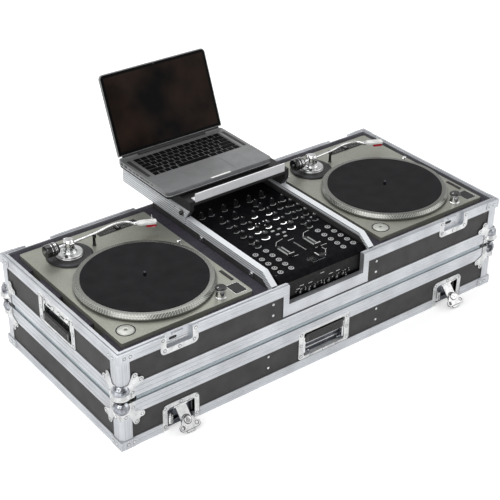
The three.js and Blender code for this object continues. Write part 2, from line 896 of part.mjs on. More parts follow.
function handleGrip() {
  const gripX = armInnerX - seatGap;
  const level = pivotLevel + bailReach;
  const middle = pivotDepth - gripLift;
  const body = moved(prismX(roundedOutline(gripDepth, gripHeight, gripCorner, gripCorner), -gripX,
    gripX), 0, middle, level);
  const bore = moved(rodX(bailBarRadius + seatGap, -handleMouthX, handleMouthX, rodFacets), 0,
    pivotDepth, level);
  const grooves = [];
  for (let i = 1; i <= gripGrooveCount; i += 1) {
    const height = level - gripHeight / 2 + (gripHeight * i) / (gripGrooveCount + 1);
    grooves.push(block(-gripX + gripCorner, gripX - gripCorner, middle - gripDepth,
      middle - gripDepth / 2 + gripGroove, height - gripGroove / 2, height + gripGroove / 2));
  }
  return cut(body, bore, ...grooves);
}

// Butterfly latch. Its dish opens downwards through the rim, and its hasp turns on a pin.
const hingeLevel = latchMouthHeight - hingeDrop;
const latchMouthX = latchMouthWidth / 2;
const shallowBack = plateBackY - rimInnerFace - edgeWall - seatGap;
const shallowTop = rimInnerLeg + seatGap;

function latchDish(sprung) {
  const height = latchPlateHeight - latchFloorGap;
  const plate = moved(prismY(roundedOutline(latchPlateWidth, height, 0, latchPlateRadius),
    -latchSheet, 0), 0, 0, latchFloorGap + height / 2);
  const spread = latchMouthX + latchSheet;
  const top = latchMouthHeight + latchSheet;
  const deep = block(-spread, spread, -latchSheet / 2, latchRecess, shallowTop, top);
  const shallow = block(-spread, spread, -latchSheet / 2, shallowBack, latchFloorGap, top);
  const deepRoom = block(-latchMouthX, latchMouthX, -latchSheet * 2, latchFloor,
    shallowTop + latchSheet, latchMouthHeight);
  const shallowRoom = block(-latchMouthX, latchMouthX, -latchSheet * 2, shallowBack - latchSheet,
    -cutOverrun, latchMouthHeight);
  const pin = moved(rodX(hingePinRadius, -latchMouthX - latchSheet / 2,
    latchMouthX + latchSheet / 2, rodFacets), 0, hingeY, hingeLevel);
  const shell = join(cut(join(plate, deep, shallow), deepRoom, shallowRoom), pin);
  if (!sprung) return shell;
  const length = springPitch * latchSpringTurns;
  const start = -hingeKnuckleLength / 2 - seatGap - springWire - length;
  return join(shell, moved(springTube(latchSpringPath), start, hingeY, hingeLevel));
}

// Room for a latch dish. A negative ease makes the dish bite into what carries it.
function latchPocket(ease) {
  const spread = latchMouthX + latchSheet + ease;
  const top = latchMouthHeight + latchSheet + ease;
  const plateTop = latchPlateHeight + ease;
  return [
    block(-spread, spread, -cutOverrun, latchRecess + cutOverrun, shallowTop - seatGap / 2, top),
    block(-spread, spread, -cutOverrun, shallowBack + seatGap / 2, -cutOverrun, top),
    moved(prismY(roundedOutline(latchPlateWidth + ease * 2, plateTop + cutOverrun, 0,
      latchPlateRadius), -cutOverrun, seatGap), 0, 0, (plateTop - cutOverrun) / 2),
  ];
}

function hasp() {
  const half = haspThickness / 2;
  const knuckle = rodX(hingeKnuckleRadius, -hingeKnuckleLength / 2, hingeKnuckleLength / 2,
    smallFacets);
  const bore = rodX(hingeBoreRadius, -hingeKnuckleLength, hingeKnuckleLength, rodFacets);
  const plate = block(-haspWidth / 2, haspWidth / 2, -half, half, -haspLength + haspHookHeight,
    -hingeKnuckleRadius / 2);
  const tip = block(-haspHookWidth / 2, haspHookWidth / 2, -half, half, -haspLength,
    -haspLength + haspHookHeight * 2);
  const hook = block(-haspHookWidth / 2, haspHookWidth / 2, 0, half + haspHookDepth, -haspLength,
    -haspLength + haspHookHeight);
  const boss = moved(rodY(haspBossRadius, -half - haspBossHeight, 0, discFacets), 0, 0,
    -haspBossDrop);
  return cut(join(knuckle, plate, tip, hook, boss), bore);
}

function butterflyOutline(holeSides) {
  const shape = new THREE.Shape();
  const neck = keyHubRadius * 1.2;
  shape.moveTo(-keyLobeSpread, -keyLobeDrop - keyLobeRadius);
  shape.lineTo(keyLobeSpread, -keyLobeDrop - keyLobeRadius);
  shape.absarc(keyLobeSpread, -keyLobeDrop, keyLobeRadius, -quarterTurn, quarterTurn);
  shape.lineTo(neck, keyHubRadius);
  shape.lineTo(-neck, keyHubRadius);
  shape.absarc(-keyLobeSpread, -keyLobeDrop, keyLobeRadius, quarterTurn, halfTurn + quarterTurn);
  for (const side of holeSides) {
    const hole = new THREE.Path();
    hole.absarc(side * keyLobeSpread, -keyLobeDrop, keyHoleRadius, 0, halfTurn, true);
    hole.absarc(side * keyLobeSpread, -keyLobeDrop, keyHoleRadius, halfTurn, 0, true);
    shape.holes.push(hole);
  }
  return shape;
}

function butterflyKey(holeSides) {
  const back = -haspThickness / 2 - haspBossHeight - seatGap;
  const wings = prismY(butterflyOutline(holeSides), back - keyThickness, back, lobeFacets);
  const hub = rodY(keyHubRadius, back - keyThickness - keyHubHeight, back, rodFacets);
  return moved(join(wings, hub), 0, 0, -haspBossDrop);
}

// On the rear latches the key and the hasp are held together by the key's stem
function ridingLatch() {
  const stem = rodY(keyHubRadius / 2, -haspThickness / 2 - haspBossHeight - seatGap * 2, 0,
    rodFacets);
  return join(hasp(), butterflyKey([]), moved(stem, 0, 0, -haspBossDrop));
}

function haspPivot() {
  const pivot = new THREE.Group();
  pivot.position.set(0, hingeY, hingeLevel);
  pivot.rotation.x = -THREE.MathUtils.degToRad(haspOpenAngle);
  return pivot;
}

// Catch in the base rim. The hook of a closed hasp pulls up against the strike bar.
function catchPlate() {
  const spread = catchMouthWidth / 2;
  const plate = moved(prismY(roundedOutline(catchWidth, catchHeight, catchRadius, 0),
    -latchSheet, 0), 0, 0, -latchFloorGap - catchHeight / 2);
  const pan = block(-spread - latchSheet, spread + latchSheet, -latchSheet / 2, shallowBack,
    -catchMouthHeight - latchSheet, -latchFloorGap);
  const floor = shallowBack - latchSheet;
  const room = block(-spread, spread, -latchSheet * 2, floor, -catchMouthHeight, cutOverrun);
  const strikeTop = -(haspLength - hingeLevel) + haspHookHeight + seatGap + strikeHeight;
  const strike = block(-strikeWidth / 2, strikeWidth / 2, hingeY + haspThickness / 2 + seatGap,
    floor + latchSheet / 2, strikeTop - strikeHeight, strikeTop);
  return join(cut(join(plate, pan), room), strike);
}

function catchPocket(ease) {
  const spread = catchMouthWidth / 2 + latchSheet + ease;
  const low = -catchHeight - latchFloorGap - ease;
  const reach = cutOverrun - low;
  return [
    block(-spread, spread, -cutOverrun, shallowBack + seatGap / 2,
      -catchMouthHeight - latchSheet - ease, cutOverrun),
    moved(prismY(roundedOutline(catchWidth + ease * 2, reach, catchRadius, 0), -cutOverrun,
      seatGap), 0, 0, low + reach / 2),
  ];
}

const latchPlaces = [
  { name: 'front_left', mountAt: frontMount, x: -frontLatchOffset, front: true },
  { name: 'front_right', mountAt: frontMount, x: frontLatchOffset, front: true },
  { name: 'rear_outer_left', mountAt: rearMount, x: -rearOuterOffset },
  { name: 'rear_inner_left', mountAt: rearMount, x: -rearInnerOffset },
  { name: 'rear_inner_right', mountAt: rearMount, x: rearInnerOffset },
  { name: 'rear_outer_right', mountAt: rearMount, x: rearOuterOffset },
];
const sides = [['left', -1], ['right', 1]];

function addBallCorners(parent, owner, fitting, edgeZ, up) {
  for (const [row, sideY] of [['front', -1], ['rear', 1]]) {
    for (const [name, sideX] of sides) {
      const solid = atCorner(fitting, sideX, sideY, edgeZ, up);
      addNode(parent, `${owner}_ball_corner_${row}_${name}`, solid, 'steel');
    }
  }
}

function addHandle(parent, mount, owner, suffix, dish) {
  parent.add(mount);
  addNode(mount, `${owner}_dish${suffix}`, dish, 'steel');
  addNode(mount, `${owner}_bail${suffix}`, handleBail(), 'steel');
  addNode(mount, `${owner}_grip${suffix}`, handleGrip(), 'grip');
}

// Lid, standing open side down
function makeLid(parent) {
  const panelTop = lidHeight - boardInset;
  const wallHigh = panelTop - boardThickness - seatGap;
  addNode(parent, 'lid_top_panel', prismZ(boardOutline(), panelTop - boardThickness, panelTop,
    postFacets), 'laminate');

  const handleMount = frontMount(0, lidHandleHeight);
  const handleTools = handlePocket().map((tool) => placed(tool, handleMount));
  const wallTools = latchPlaces.flatMap(({ mountAt, x }) => latchPocket(seatGap)
    .map((tool) => placed(tool, mountAt(x, 0))));
  addNode(parent, 'lid_wall_frame', cut(boardFrame(rimWeb + seatGap, wallHigh), ...wallTools,
    ...handleTools), 'laminate');

  const edgeTools = latchPlaces.flatMap(({ mountAt, x, front }) => latchPocket(front
    ? seatGap : -seatGap).map((tool) => placed(tool, mountAt(x, 0))));
  const posts = atAllCorners(cornerPost(rimLeg - postLap, lidHeight - edgeLeg + postLap), 0, 1);
  const edging = join(edgeRing(angleProfile(), lidHeight, -1), edgeRing(rimProfile(rimKeyDepth), 0, 1),
    ...posts, ...atAllCorners(rimBrace(), 0, 1));
  const rearDishes = latchPlaces.filter(({ front }) => !front)
    .map(({ mountAt, x }) => placed(latchDish(false), mountAt(x, 0)));
  addNode(parent, 'lid_edge_frame', join(cut(edging, ...edgeTools, ...handleTools), ...rearDishes),
    'aluminium');

  addBallCorners(parent, 'lid', ballCorner(), lidHeight, -1);
  const foamX = boardInnerX - lidFoamWallGap;
  const foamY = boardInnerY - lidFoamWallGap;
  addNode(parent, 'lid_foam', block(-foamX, foamX, -foamY, foamY, wallHigh - lidFoamThickness,
    wallHigh), 'foam');
  addHandle(parent, handleMount, 'lid_handle', '', handleDish([-1, 1], false));

  for (const { name, mountAt, x, front } of latchPlaces) {
    const mount = mountAt(x, 0);
    const pivot = haspPivot();
    mount.add(pivot);
    parent.add(mount);
    if (front) {
      addNode(mount, `latch_dish_${name}`, latchDish(true), 'steel');
      addNode(pivot, `latch_hasp_${name}`, hasp(), 'steel');
      addNode(pivot, `latch_key_${name}`, butterflyKey([-1, 1]), 'chrome');
    } else {
      addNode(pivot, `latch_${name}`, ridingLatch(), 'steel');
    }
  }
}

// Channel round the cut-out of the base front
function notchTrim() {
  const outer = notchHalfWidth + notchSideLeg;
  const inner = notchHalfWidth + rimInnerLeg;
  const back = -halfDepth + rimWidth;
  const face = block(-outer, outer, -halfDepth, -halfDepth + edgeWall, notchFloor - notchFloorLeg,
    baseTop);
  const web = block(-notchHalfWidth - edgeWall, notchHalfWidth + edgeWall, -halfDepth, back,
    notchFloor - edgeWall, baseTop);
  const innerFace = block(-inner, inner, back - edgeWall, back, notchFloor - rimInnerLeg, baseTop);
  return join(face, web, innerFace);
}

function makeBase(parent) {
  const catchTools = (ease) => latchPlaces.flatMap(({ mountAt, x }) => catchPocket(ease)
    .map((tool) => placed(tool, mountAt(x, baseTop))));
  const handleZ = baseBottom + baseHandleHeight;
  const handleTools = sides.flatMap(([, side]) => handlePocket()
    .map((tool) => placed(tool, sideMount(side, handleZ))));
  addNode(parent, 'base_floor_panel', prismZ(boardOutline(), baseBottom + boardInset, floorTop,
    postFacets), 'laminate');

  const notchX = notchHalfWidth + edgeWall + seatGap;
  const boardNotch = block(-notchX, notchX, -halfDepth - cutOverrun, -boardInnerY + cutOverrun,
    notchFloor - edgeWall - seatGap, baseTop);
  const walls = boardFrame(floorTop + seatGap, baseTop - rimWeb - seatGap);
  addNode(parent, 'base_wall_frame', cut(walls, boardNotch, ...catchTools(seatGap), ...handleTools),
    'laminate');

  const notchOpening = block(-notchHalfWidth, notchHalfWidth, -halfDepth - cutOverrun,
    -rimInnerFace + cutOverrun, notchFloor, baseTop + cutOverrun);
  const posts = atAllCorners(cornerPost(baseBottom + edgeLeg - postLap,
    baseTop - rimLeg + postLap), 0, 1);
  const edging = join(edgeRing(angleProfile(), baseBottom, 1),
    edgeRing(rimProfile(-rimKeyDepth), baseTop, -1), ...posts,
    ...atAllCorners(rimBrace(), baseTop, -1), notchTrim());
  const catches = latchPlaces.map(({ mountAt, x }) => placed(catchPlate(), mountAt(x, baseTop)));
  const trimmed = cut(edging, notchOpening, ...catchTools(-seatGap), ...handleTools);
  addNode(parent, 'base_edge_frame', join(trimmed, ...catches), 'aluminium');

  addBallCorners(parent, 'base', cupCorner(), baseBottom, 1);
  for (const [name, side] of sides) {
    addHandle(parent, sideMount(side, handleZ), 'side_handle', `_${name}`, handleDish([1], true));
  }
}

// Bay walls, with the rails that cap them
const bayOuter = bayHalfWidth + bayWallThickness;
const railTop = baseTop + railRise;
const railCover = railSheet + seatGap;

function railSide(drop) {
  return [
    [-roomY, baseTop + railFrontRise - drop], [-roomY + railSlopeRun, railTop - drop],
    [roomY, railTop - drop],
  ];
}

function railBand(high, low) {
  return [...railSide(high), ...railSide(low).reverse()];
}

function bayWall(side) {
  const outline = [[-roomY, floorTop + seatGap], ...railSide(railCover),
    [roomY, floorTop + seatGap]];
  return prismX(outline, side * bayHalfWidth, side * bayOuter);
}

function glideRail(side) {
  const inner = side * (bayHalfWidth - railCover);
  const outer = side * (bayOuter + railCover);
  const cap = prismX(railBand(0, railInnerLeg), inner, outer);
  const leg = prismX(railBand(0, railOuterLeg), side * bayOuter, outer);
  const room = prismX(railBand(railSheet, railOuterLeg + cutOverrun),
    side * (bayHalfWidth - seatGap), side * (bayOuter + seatGap));
  return cut(join(cap, leg), room);
}

// Foam that packs a deck on all four sides, with hollows to get a hand under the deck
function deckFoam(side) {
  const top = baseTop - foamTopDrop;
  const low = floorTop + seatGap;
  const inner = bayOuter + railCover + seatGap;
  const pack = block(side * inner, side * roomX, -roomY, roomY, low, top);
  const deckX = deckDepth / 2 + foamGap;
  const deckY = deckLength / 2 + foamGap;
  const centre = side * deckCentreX;
  const well = block(centre - deckX, centre + deckX, deckCentreY - deckY, deckCentreY + deckY,
    low - cutOverrun, top + cutOverrun);
  const half = foamPocketWidth / 2;
  const hollows = [
    block(centre - half, centre + half, -roomY - cutOverrun, deckCentreY, top - foamPocketDepth,
      top + cutOverrun),
  ];
  for (const share of foamPocketShares) {
    const y = deckCentreY + share * deckLength;
    hollows.push(block(centre, side * (roomX + cutOverrun), y - half / 2, y + half / 2,
      top - foamPocketDepth, top + cutOverrun));
  }
  return cut(pack, well, ...hollows);
}

const mixerTop = baseTop + mixerTopRise;
const mixerBottom = mixerTop - mixerHeight;
const mixerBack = mixerFront + mixerDepth;
const mixerLeft = mixerOffset - mixerWidth / 2;
const mixerRight = mixerOffset + mixerWidth / 2;

function mixerFoam() {
  const side = bayHalfWidth - seatGap;
  const low = floorTop + seatGap;
  const pad = block(-side, side, -roomY, roomY, low, mixerBottom - seatGap);
  const surround = block(-side, side, mixerFront, roomY, low, baseTop - foamTopDrop);
  const room = block(mixerLeft - foamGap, mixerRight + foamGap, mixerFront - cutOverrun,
    mixerBack + foamGap, mixerBottom - seatGap, baseTop);
  return join(pad, cut(surround, room));
}

function makeBays(parent) {
  for (const [name, side] of sides) {
    addNode(parent, `bay_wall_${name}`, bayWall(side), 'laminate');
    addNode(parent, `glide_rail_${name}`, glideRail(side), 'aluminium');
    addNode(parent, `deck_foam_${name}`, deckFoam(side), 'foam');
  }
  addNode(parent, 'mixer_foam', mixerFoam(), 'foam');
}

// Mixer. A share gives a place on its top.
function mixerPlace([across, along]) {
  return [mixerOffset + across * mixerWidth, mixerFront + along * mixerDepth];
}

function faderSlot() {
  const half = faderTravel / 2 + faderStemLength / 2 + seatGap * 2;
  const width = faderStemThickness / 2 + seatGap;
  return block(-half, half, -width, width, -faderSlotDepth, cutOverrun);
}

function faderCap() {
  const lift = seatGap * 2;
  const half = faderCapLength / 2;
  const outline = [
    [-half, lift], [half, lift], [half - faderCapTaper, lift + faderCapHeight],
    [0, lift + faderCapHeight - faderCapTaper / 2], [faderCapTaper - half, lift + faderCapHeight],
  ];
  const cap = prismY(outline, -faderCapWidth / 2, faderCapWidth / 2);
  const stem = block(-faderStemLength / 2, faderStemLength / 2, -faderStemThickness / 2,
    faderStemThickness / 2, -faderStemDepth, lift + faderCapTaper);
  return join(cap, stem);
}

function mixerBody() {
  const shellOutline = [
    [mixerFront, mixerBottom], [mixerBack, mixerBottom], [mixerBack, mixerTop],
    [mixerFront + mixerBevelRun, mixerTop], [mixerFront, mixerTop - mixerBevelDrop],
  ];
  const shell = prismX(shellOutline, mixerLeft, mixerRight);
  const low = mixerTop - controlSink;
  const knob = rodZ(knobRadius, low, mixerTop + knobHeight, smallFacets, knobTopRadius);
  const largeKnob = rodZ(largeKnobRadius, low, mixerTop + knobHeight, discFacets,
    largeKnobRadius - (knobRadius - knobTopRadius));
  const pad = rodZ(padRadius, low, mixerTop + padHeight, padFacets);
  const controls = [];
  for (const share of knobShares) controls.push(moved(knob, ...mixerPlace(share), 0));
  for (const share of largeKnobShares) controls.push(moved(largeKnob, ...mixerPlace(share), 0));
  for (const across of padColumnShares) {
    for (const along of padRowShares) controls.push(moved(pad, ...mixerPlace([across, along]), 0));
  }
  const upright = turned(faderSlot(), zAxis, quarterTurn);
  const slots = channelFaderShares.map((share) => moved(upright, ...mixerPlace(share), mixerTop));
  slots.push(moved(faderSlot(), ...mixerPlace(crossfaderShare), mixerTop));
  return join(cut(shell, ...slots), ...controls);
}

function makeMixer(parent) {
  addNode(parent, 'mixer_body', mixerBody(), 'mixer');
  const cross = new THREE.Group();
  cross.position.set(...mixerPlace(crossfaderShare), mixerTop);
  parent.add(cross);
  addNode(cross, 'mixer_crossfader', faderCap(), 'faderCap');
  sides.forEach(([name], i) => {
    const channel = new THREE.Group();
    const [x, y] = mixerPlace(channelFaderShares[i]);
    channel.position.set(x, y - faderTravel / 2, mixerTop);
    channel.rotation.z = quarterTurn;
    parent.add(channel);
    addNode(channel, `mixer_fader_${name}`, faderCap(), 'faderCap');
  });
}

// Gliding shelf, made with its front edge at y = 0 and its underside at z = 0
const shelfHeight = shelfSideHeight + shelfBoard;

function slopeTool(height) {
  return prismX([[-cutOverrun, -cutOverrun], [runnerSlope, -cutOverrun], [runnerSlope, 0],
    [0, height], [-cutOverrun, height]], -bayOuter * 2, bayOuter * 2);
}

function shelfBody() {
  const boards = prismY([
    [-bayOuter, 0], [-bayHalfWidth, 0], [-bayHalfWidth, shelfSideHeight],
    [bayHalfWidth, shelfSideHeight], [bayHalfWidth, 0], [bayOuter, 0], [bayOuter, shelfHeight],
    [-bayOuter, shelfHeight],
  ], 0, shelfLength);
  const lipX = bayOuter - lipInset;
  const edge = shelfHeight - lipSheet;
  const lip = prismX([
    [-lipSheet, edge], [lipSheet, edge], [lipSheet, shelfHeight], [lipFoot, shelfHeight],
    [lipFoot, shelfHeight + lipSheet], [0, shelfHeight + lipSheet], [0, shelfHeight + lipHeight],
    [-lipSheet, shelfHeight + lipHeight],
  ], -lipX, lipX);
  return join(cut(boards, slopeTool(runnerHeight)), lip);
}

function glideRunner(side) {
  const inner = bayOuter + seatGap;
  const outer = inner + runnerThickness;
  const spacing = runnerHeight / (runnerGrooveCount + 1);
  const profile = [[side * inner, 0], [side * outer, 0]];
  for (let i = 1; i <= runnerGrooveCount; i += 1) {
    profile.push([side * outer, i * spacing - runnerGroove]);
    profile.push([side * (outer - runnerGroove), i * spacing]);
    profile.push([side * outer, i * spacing + runnerGroove]);
  }
  profile.push([side * outer, runnerHeight], [side * inner, runnerHeight]);
  const bar = cut(prismY(profile, 0, shelfLength), slopeTool(runnerHeight));
  const guideInner = bayOuter + railCover + seatGap;
  const guide = block(side * guideInner, side * (guideInner + guideThickness), runnerSlope,
    shelfLength, -guideDrop, runnerHeight / 2);
  const face = outer + boltPlateThickness;
  const plateHalf = boltPlate / 2;
  const plate = block(side * (outer - runnerGroove), side * face, boltSetBack - plateHalf,
    boltSetBack + plateHalf, runnerHeight / 2 - plateHalf, runnerHeight / 2 + plateHalf);
  const bolt = moved(rodX(boltRadius, side * outer, side * (face + boltLength), rodFacets), 0,
    boltSetBack, runnerHeight / 2);
  return join(bar, guide, plate, bolt);
}

function makeShelf(parent) {
  const shelf = new THREE.Group();
  shelf.position.set(0, shelfRestFront, railTop + seatGap);
  parent.add(shelf);
  addNode(shelf, 'glide_shelf', shelfBody(), 'shelf');
  for (const [name, side] of sides) {
    addNode(shelf, `glide_runner_${name}`, glideRunner(side), 'aluminium');
  }
  return shelf;
}

// Laptop, made with its front edge at y = 0 and its feet at z = 0
const laptopTop = laptopFootHeight + laptopBaseHeight;

function laptopBase() {
  const middle = laptopDepth / 2;
  const shell = moved(prismZ(roundedOutline(laptopWidth, laptopDepth, laptopRadius, laptopRadius),
    laptopFootHeight, laptopTop), 0, middle, 0);
  const feet = [-1, 1].flatMap((sideX) => [-1, 1].map((sideY) => moved(rodZ(laptopFootRadius, 0,
    laptopFootHeight * 2, smallFacets), sideX * (laptopWidth / 2 - laptopFootInset),
    middle + sideY * (middle - laptopFootInset), 0)));
  const keyboardRear = laptopDepth - keyboardBack;
  const keyboardFront = keyboardRear - keyboardDepth;
  const keyX = keyboardWidth / 2;
  const keyWell = block(-keyX, keyX, keyboardFront, keyboardRear, laptopTop - keyboardRecess,
    laptopTop + cutOverrun);
  const padRear = keyboardFront - trackpadGap;
  const trackpad = block(-trackpadWidth / 2, trackpadWidth / 2, padRear - trackpadDepth, padRear,
    laptopTop - trackpadRecess, laptopTop + cutOverrun);
  const thumb = block(-thumbNotchWidth / 2, thumbNotchWidth / 2, -cutOverrun, thumbNotchDepth,
    laptopTop - thumbNotchDepth, laptopTop + cutOverrun);
  const hingeRoom = moved(rodX(displayHingeRadius + seatGap, -displayHingeWidth / 2 - seatGap,
    displayHingeWidth / 2 + seatGap, discFacets), 0, laptopDepth - displayHingeInset,
  laptopTop + displayHingeRise);
  const rows = [];
  const rowDepth = keyboardDepth / keyRows;
  for (let i = 0; i < keyRows; i += 1) {
    const front = keyboardFront + i * rowDepth;
    rows.push(block(-keyX + keyGap, keyX - keyGap, front + keyGap / 2, front + rowDepth - keyGap / 2,
      laptopTop - keyboardRecess * 2, laptopTop - keyDrop));
  }
  return join(cut(join(shell, ...feet), keyWell, trackpad, thumb, hingeRoom), ...rows);
}

// Display, made shut, with its hinge line along x at the origin
function laptopDisplay() {
  const low = displayLift - displayHingeRise;
  const length = displayHeight - displayNeck;
  const middle = -displayNeck - length / 2;
  const lidShell = moved(prismZ(roundedOutline(laptopWidth, length, laptopRadius, 0), low,
    low + displayThickness), 0, middle, 0);
  const screen = block(-laptopWidth / 2 + screenBezel, laptopWidth / 2 - screenBezel,
    middle - length / 2 + screenBezel, middle + length / 2 - screenBezel, low - cutOverrun,
    low + screenRecess);
  const half = displayHingeWidth / 2;
  const neck = block(-half, half, -displayNeck - displayNeckThickness, 0, low,
    low + displayNeckThickness);
  const barrel = rodX(displayHingeRadius, -half, half, discFacets);
  return join(cut(lidShell, screen), neck, barrel);
}

function makeLaptop(shelf) {
  const laptop = new THREE.Group();
  laptop.position.set(laptopOffset, laptopSetBack, shelfHeight + seatGap);
  shelf.add(laptop);
  addNode(laptop, 'laptop_base', laptopBase(), 'laptop');
  const hinge = new THREE.Group();
  hinge.position.set(0, laptopDepth - displayHingeInset, laptopTop + displayHingeRise);
  hinge.rotation.x = -THREE.MathUtils.degToRad(displayOpenAngle);
  laptop.add(hinge);
  addNode(hinge, 'laptop_display', laptopDisplay(), 'laptop');
}

// Turntable, made with the middle of its plinth's top at the origin and its long side along x
const deckTop = baseTop + deckTopRise;
const deckFootBottom = floorTop + seatGap - deckTop;

function deckFittings() {
  const sink = -controlSink;
  const restPlace = armBendShares[1];
  const restX = pivotX + restPlace[0] * armLength;
  const restY = pivotY + restPlace[1] * armLength;
  const restTop = armTubeLevel - armTubeRadius - seatGap;
  const mountProfile = [
    [0, sink], [armRingRadius, sink], [armRingRadius, armRingHeight],
    [armDialRadius, armRingHeight], [armDialRadius, armDialHeight],
    [armColumnRadius, armDialHeight], [armColumnRadius, armColumnHeight], [0, armColumnHeight],
  ];
  const speedHalf = speedWidth / 2;
  return [
    moved(revolved(mountProfile, ringFacets), pivotX, pivotY, 0),
    moved(rodZ(restPostRadius, sink, restTop, smallFacets), restX, restY, 0),
    block(restX - restPostWidth / 2, restX + restPostWidth / 2, restY - restPostRadius / 2,
      restY + restPostRadius / 2, restTop - restPostRadius, restTop),
    moved(rodZ(towerRadius, sink, towerHeight, discFacets), towerX, towerY, 0),
    moved(rodZ(towerCapRadius, towerHeight - towerCapHeight, towerHeight, discFacets), towerX,
      towerY, 0),
    moved(rodZ(lightRadius, sink, lightHeight, smallFacets), lightX, lightY, 0),
    moved(rodZ(adapterRadius, sink, adapterHeight, ringFacets), adapterX, adapterY, 0),
    block(speedX - speedLength - seatGap, speedX - seatGap, speedY - speedHalf, speedY + speedHalf,
      sink, speedHeight),
    block(speedX + seatGap, speedX + speedLength + seatGap, speedY - speedHalf, speedY + speedHalf,
      sink, speedHeight),
    block(pitchX - pitchWidth / 2, pitchX + pitchWidth / 2, pitchY - pitchLength / 2,
      pitchY + pitchLength / 2, sink, pitchHeight),
    block(pitchX - pitchCapWidth / 2, pitchX + pitchCapWidth / 2, pitchY - pitchCapLength / 2,
      pitchY + pitchCapLength / 2, sink, pitchCapHeight),
  ];
}

function deckPlinth() {
  const shell = prismZ(roundedOutline(deckLength, deckDepth, deckRadius, deckRadius),
    -deckPlinthHeight, 0);
  const inset = deckSkirtInset * 2;
  const skirtBottom = -deckPlinthHeight - deckSkirtHeight;
  const skirt = prismZ(roundedOutline(deckLength - inset, deckDepth - inset, deckRadius, deckRadius),
    skirtBottom, -deckPlinthHeight + cutOverrun);
  const feet = [-1, 1].flatMap((sideX) => [-1, 1].map((sideY) => moved(rodZ(deckFootRadius,
    deckFootBottom, skirtBottom + cutOverrun, smallFacets),
  sideX * (deckLength / 2 - deckFootInset), sideY * (deckDepth / 2 - deckFootInset), 0)));
  const startRoom = block(startX - startLength / 2 - seatGap, startX + startLength / 2 + seatGap,
    startY - startDepth / 2 - seatGap, startY + startDepth / 2 + seatGap,
    startProud - startHeight - startTravel - seatGap, cutOverrun);
  return join(cut(join(shell, skirt, ...feet), startRoom), ...deckFittings());
}

function deckPlatter() {
  const seat = platterHeight + matProud - matThickness - seatGap;
  const well = matRadius + matPlay;
  return revolved([
    [0, seatGap], [platterHubRadius, seatGap], [platterHubRadius, platterLift],
    [platterRadius, platterLift], [platterRadius, platterSkirt],
    [platterTopRadius, platterHeight], [well, platterHeight], [well, seat], [spindleRadius, seat],
    [spindleRadius, spindleHeight - spindleTip], [0, spindleHeight],
  ], platterFacets);
}

function deckMat() {
  const top = platterHeight + matProud;
  const low = top - matThickness;
  const hole = spindleRadius + seatGap;
  return revolved([[hole, low], [matRadius, low], [matRadius, top], [hole, top], [hole, low]],
    platterFacets);
}

// Tonearm, made with its pivot on the z axis
function tonearm() {
  const points = armBendShares.map(([x, y]) => new THREE.Vector3(x * armLength, y * armLength,
    armTubeLevel));
  const section = new THREE.Shape();
  section.absarc(0, 0, armTubeRadius, 0, halfTurn * 2);
  const tube = closed(new THREE.ExtrudeGeometry(section, {
    steps: armSteps, extrudePath: new THREE.CatmullRomCurve3(points), curveSegments: smallFacets,
  }));
  const gimbal = rodZ(gimbalRadius, armColumnHeight + seatGap, gimbalHeight, discFacets);
  const tail = rodY(armTubeRadius, 0, tailLength, rodFacets);
  const weight = rodY(weightRadius, tailLength - weightLength, tailLength, discFacets);
  const shell = block(-shellWidth / 2, shellWidth / 2, -shellLength, 0, -shellThickness / 2,
    shellThickness / 2);
  const cartridge = block(-cartridgeWidth / 2, cartridgeWidth / 2, -shellLength,
    cartridgeLength - shellLength, -shellThickness / 2 - cartridgeHeight, 0);
  const head = turned(join(shell, cartridge), zAxis, -THREE.MathUtils.degToRad(shellAngle));
  const end = points[points.length - 1];
  return join(tube, gimbal, moved(tail, 0, 0, armTubeLevel), moved(weight, 0, 0, armTubeLevel),
    moved(head, end.x, end.y, end.z));
}

function makeDeck(parent, name, side) {
  const deck = new THREE.Group();
  deck.position.set(side * deckCentreX, deckCentreY, deckTop);
  deck.rotation.z = quarterTurn;
  parent.add(deck);
  addNode(deck, `deck_plinth_${name}`, deckPlinth(), 'deck');
  const turning = new THREE.Group();
  turning.position.x = spindleX;
  deck.add(turning);
  addNode(turning, `deck_platter_${name}`, deckPlatter(), 'platter');
  addNode(turning, `deck_slipmat_${name}`, deckMat(), 'felt');
  const arm = new THREE.Group();
  arm.position.set(pivotX, pivotY, 0);
  deck.add(arm);
  addNode(arm, `deck_tonearm_${name}`, tonearm(), 'chrome');
  const start = new THREE.Group();
  start.position.set(startX, startY, 0);
  deck.add(start);
  addNode(start, `deck_start_button_${name}`, block(-startLength / 2, startLength / 2,
    -startDepth / 2, startDepth / 2, startProud - startHeight, startProud), 'deck');
}

// The whole stack, with the middle of its bounding box's underside at the origin
const stack = new THREE.Group();
makeLid(stack);
makeBase(stack);
makeBays(stack);
makeMixer(stack);
makeLaptop(makeShelf(stack));
for (const [name, side] of sides) makeDeck(stack, name, side);

const reach = new THREE.Box3().setFromObject(stack);
stack.position.y = -(reach.min.y + reach.max.y) / 2;
const part = new THREE.Group();
part.add(stack);

for (const [name, path] of [['handle', handleSpringPath], ['latch', latchSpringPath]]) {
  console.log(`least gap between turns of a ${name} spring: ${leastSpringGap(path).toFixed(2)} mm`);
}

export default part;
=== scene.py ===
import math
from functools import partial

import bmesh
import bpy
from mathutils import Matrix, Vector


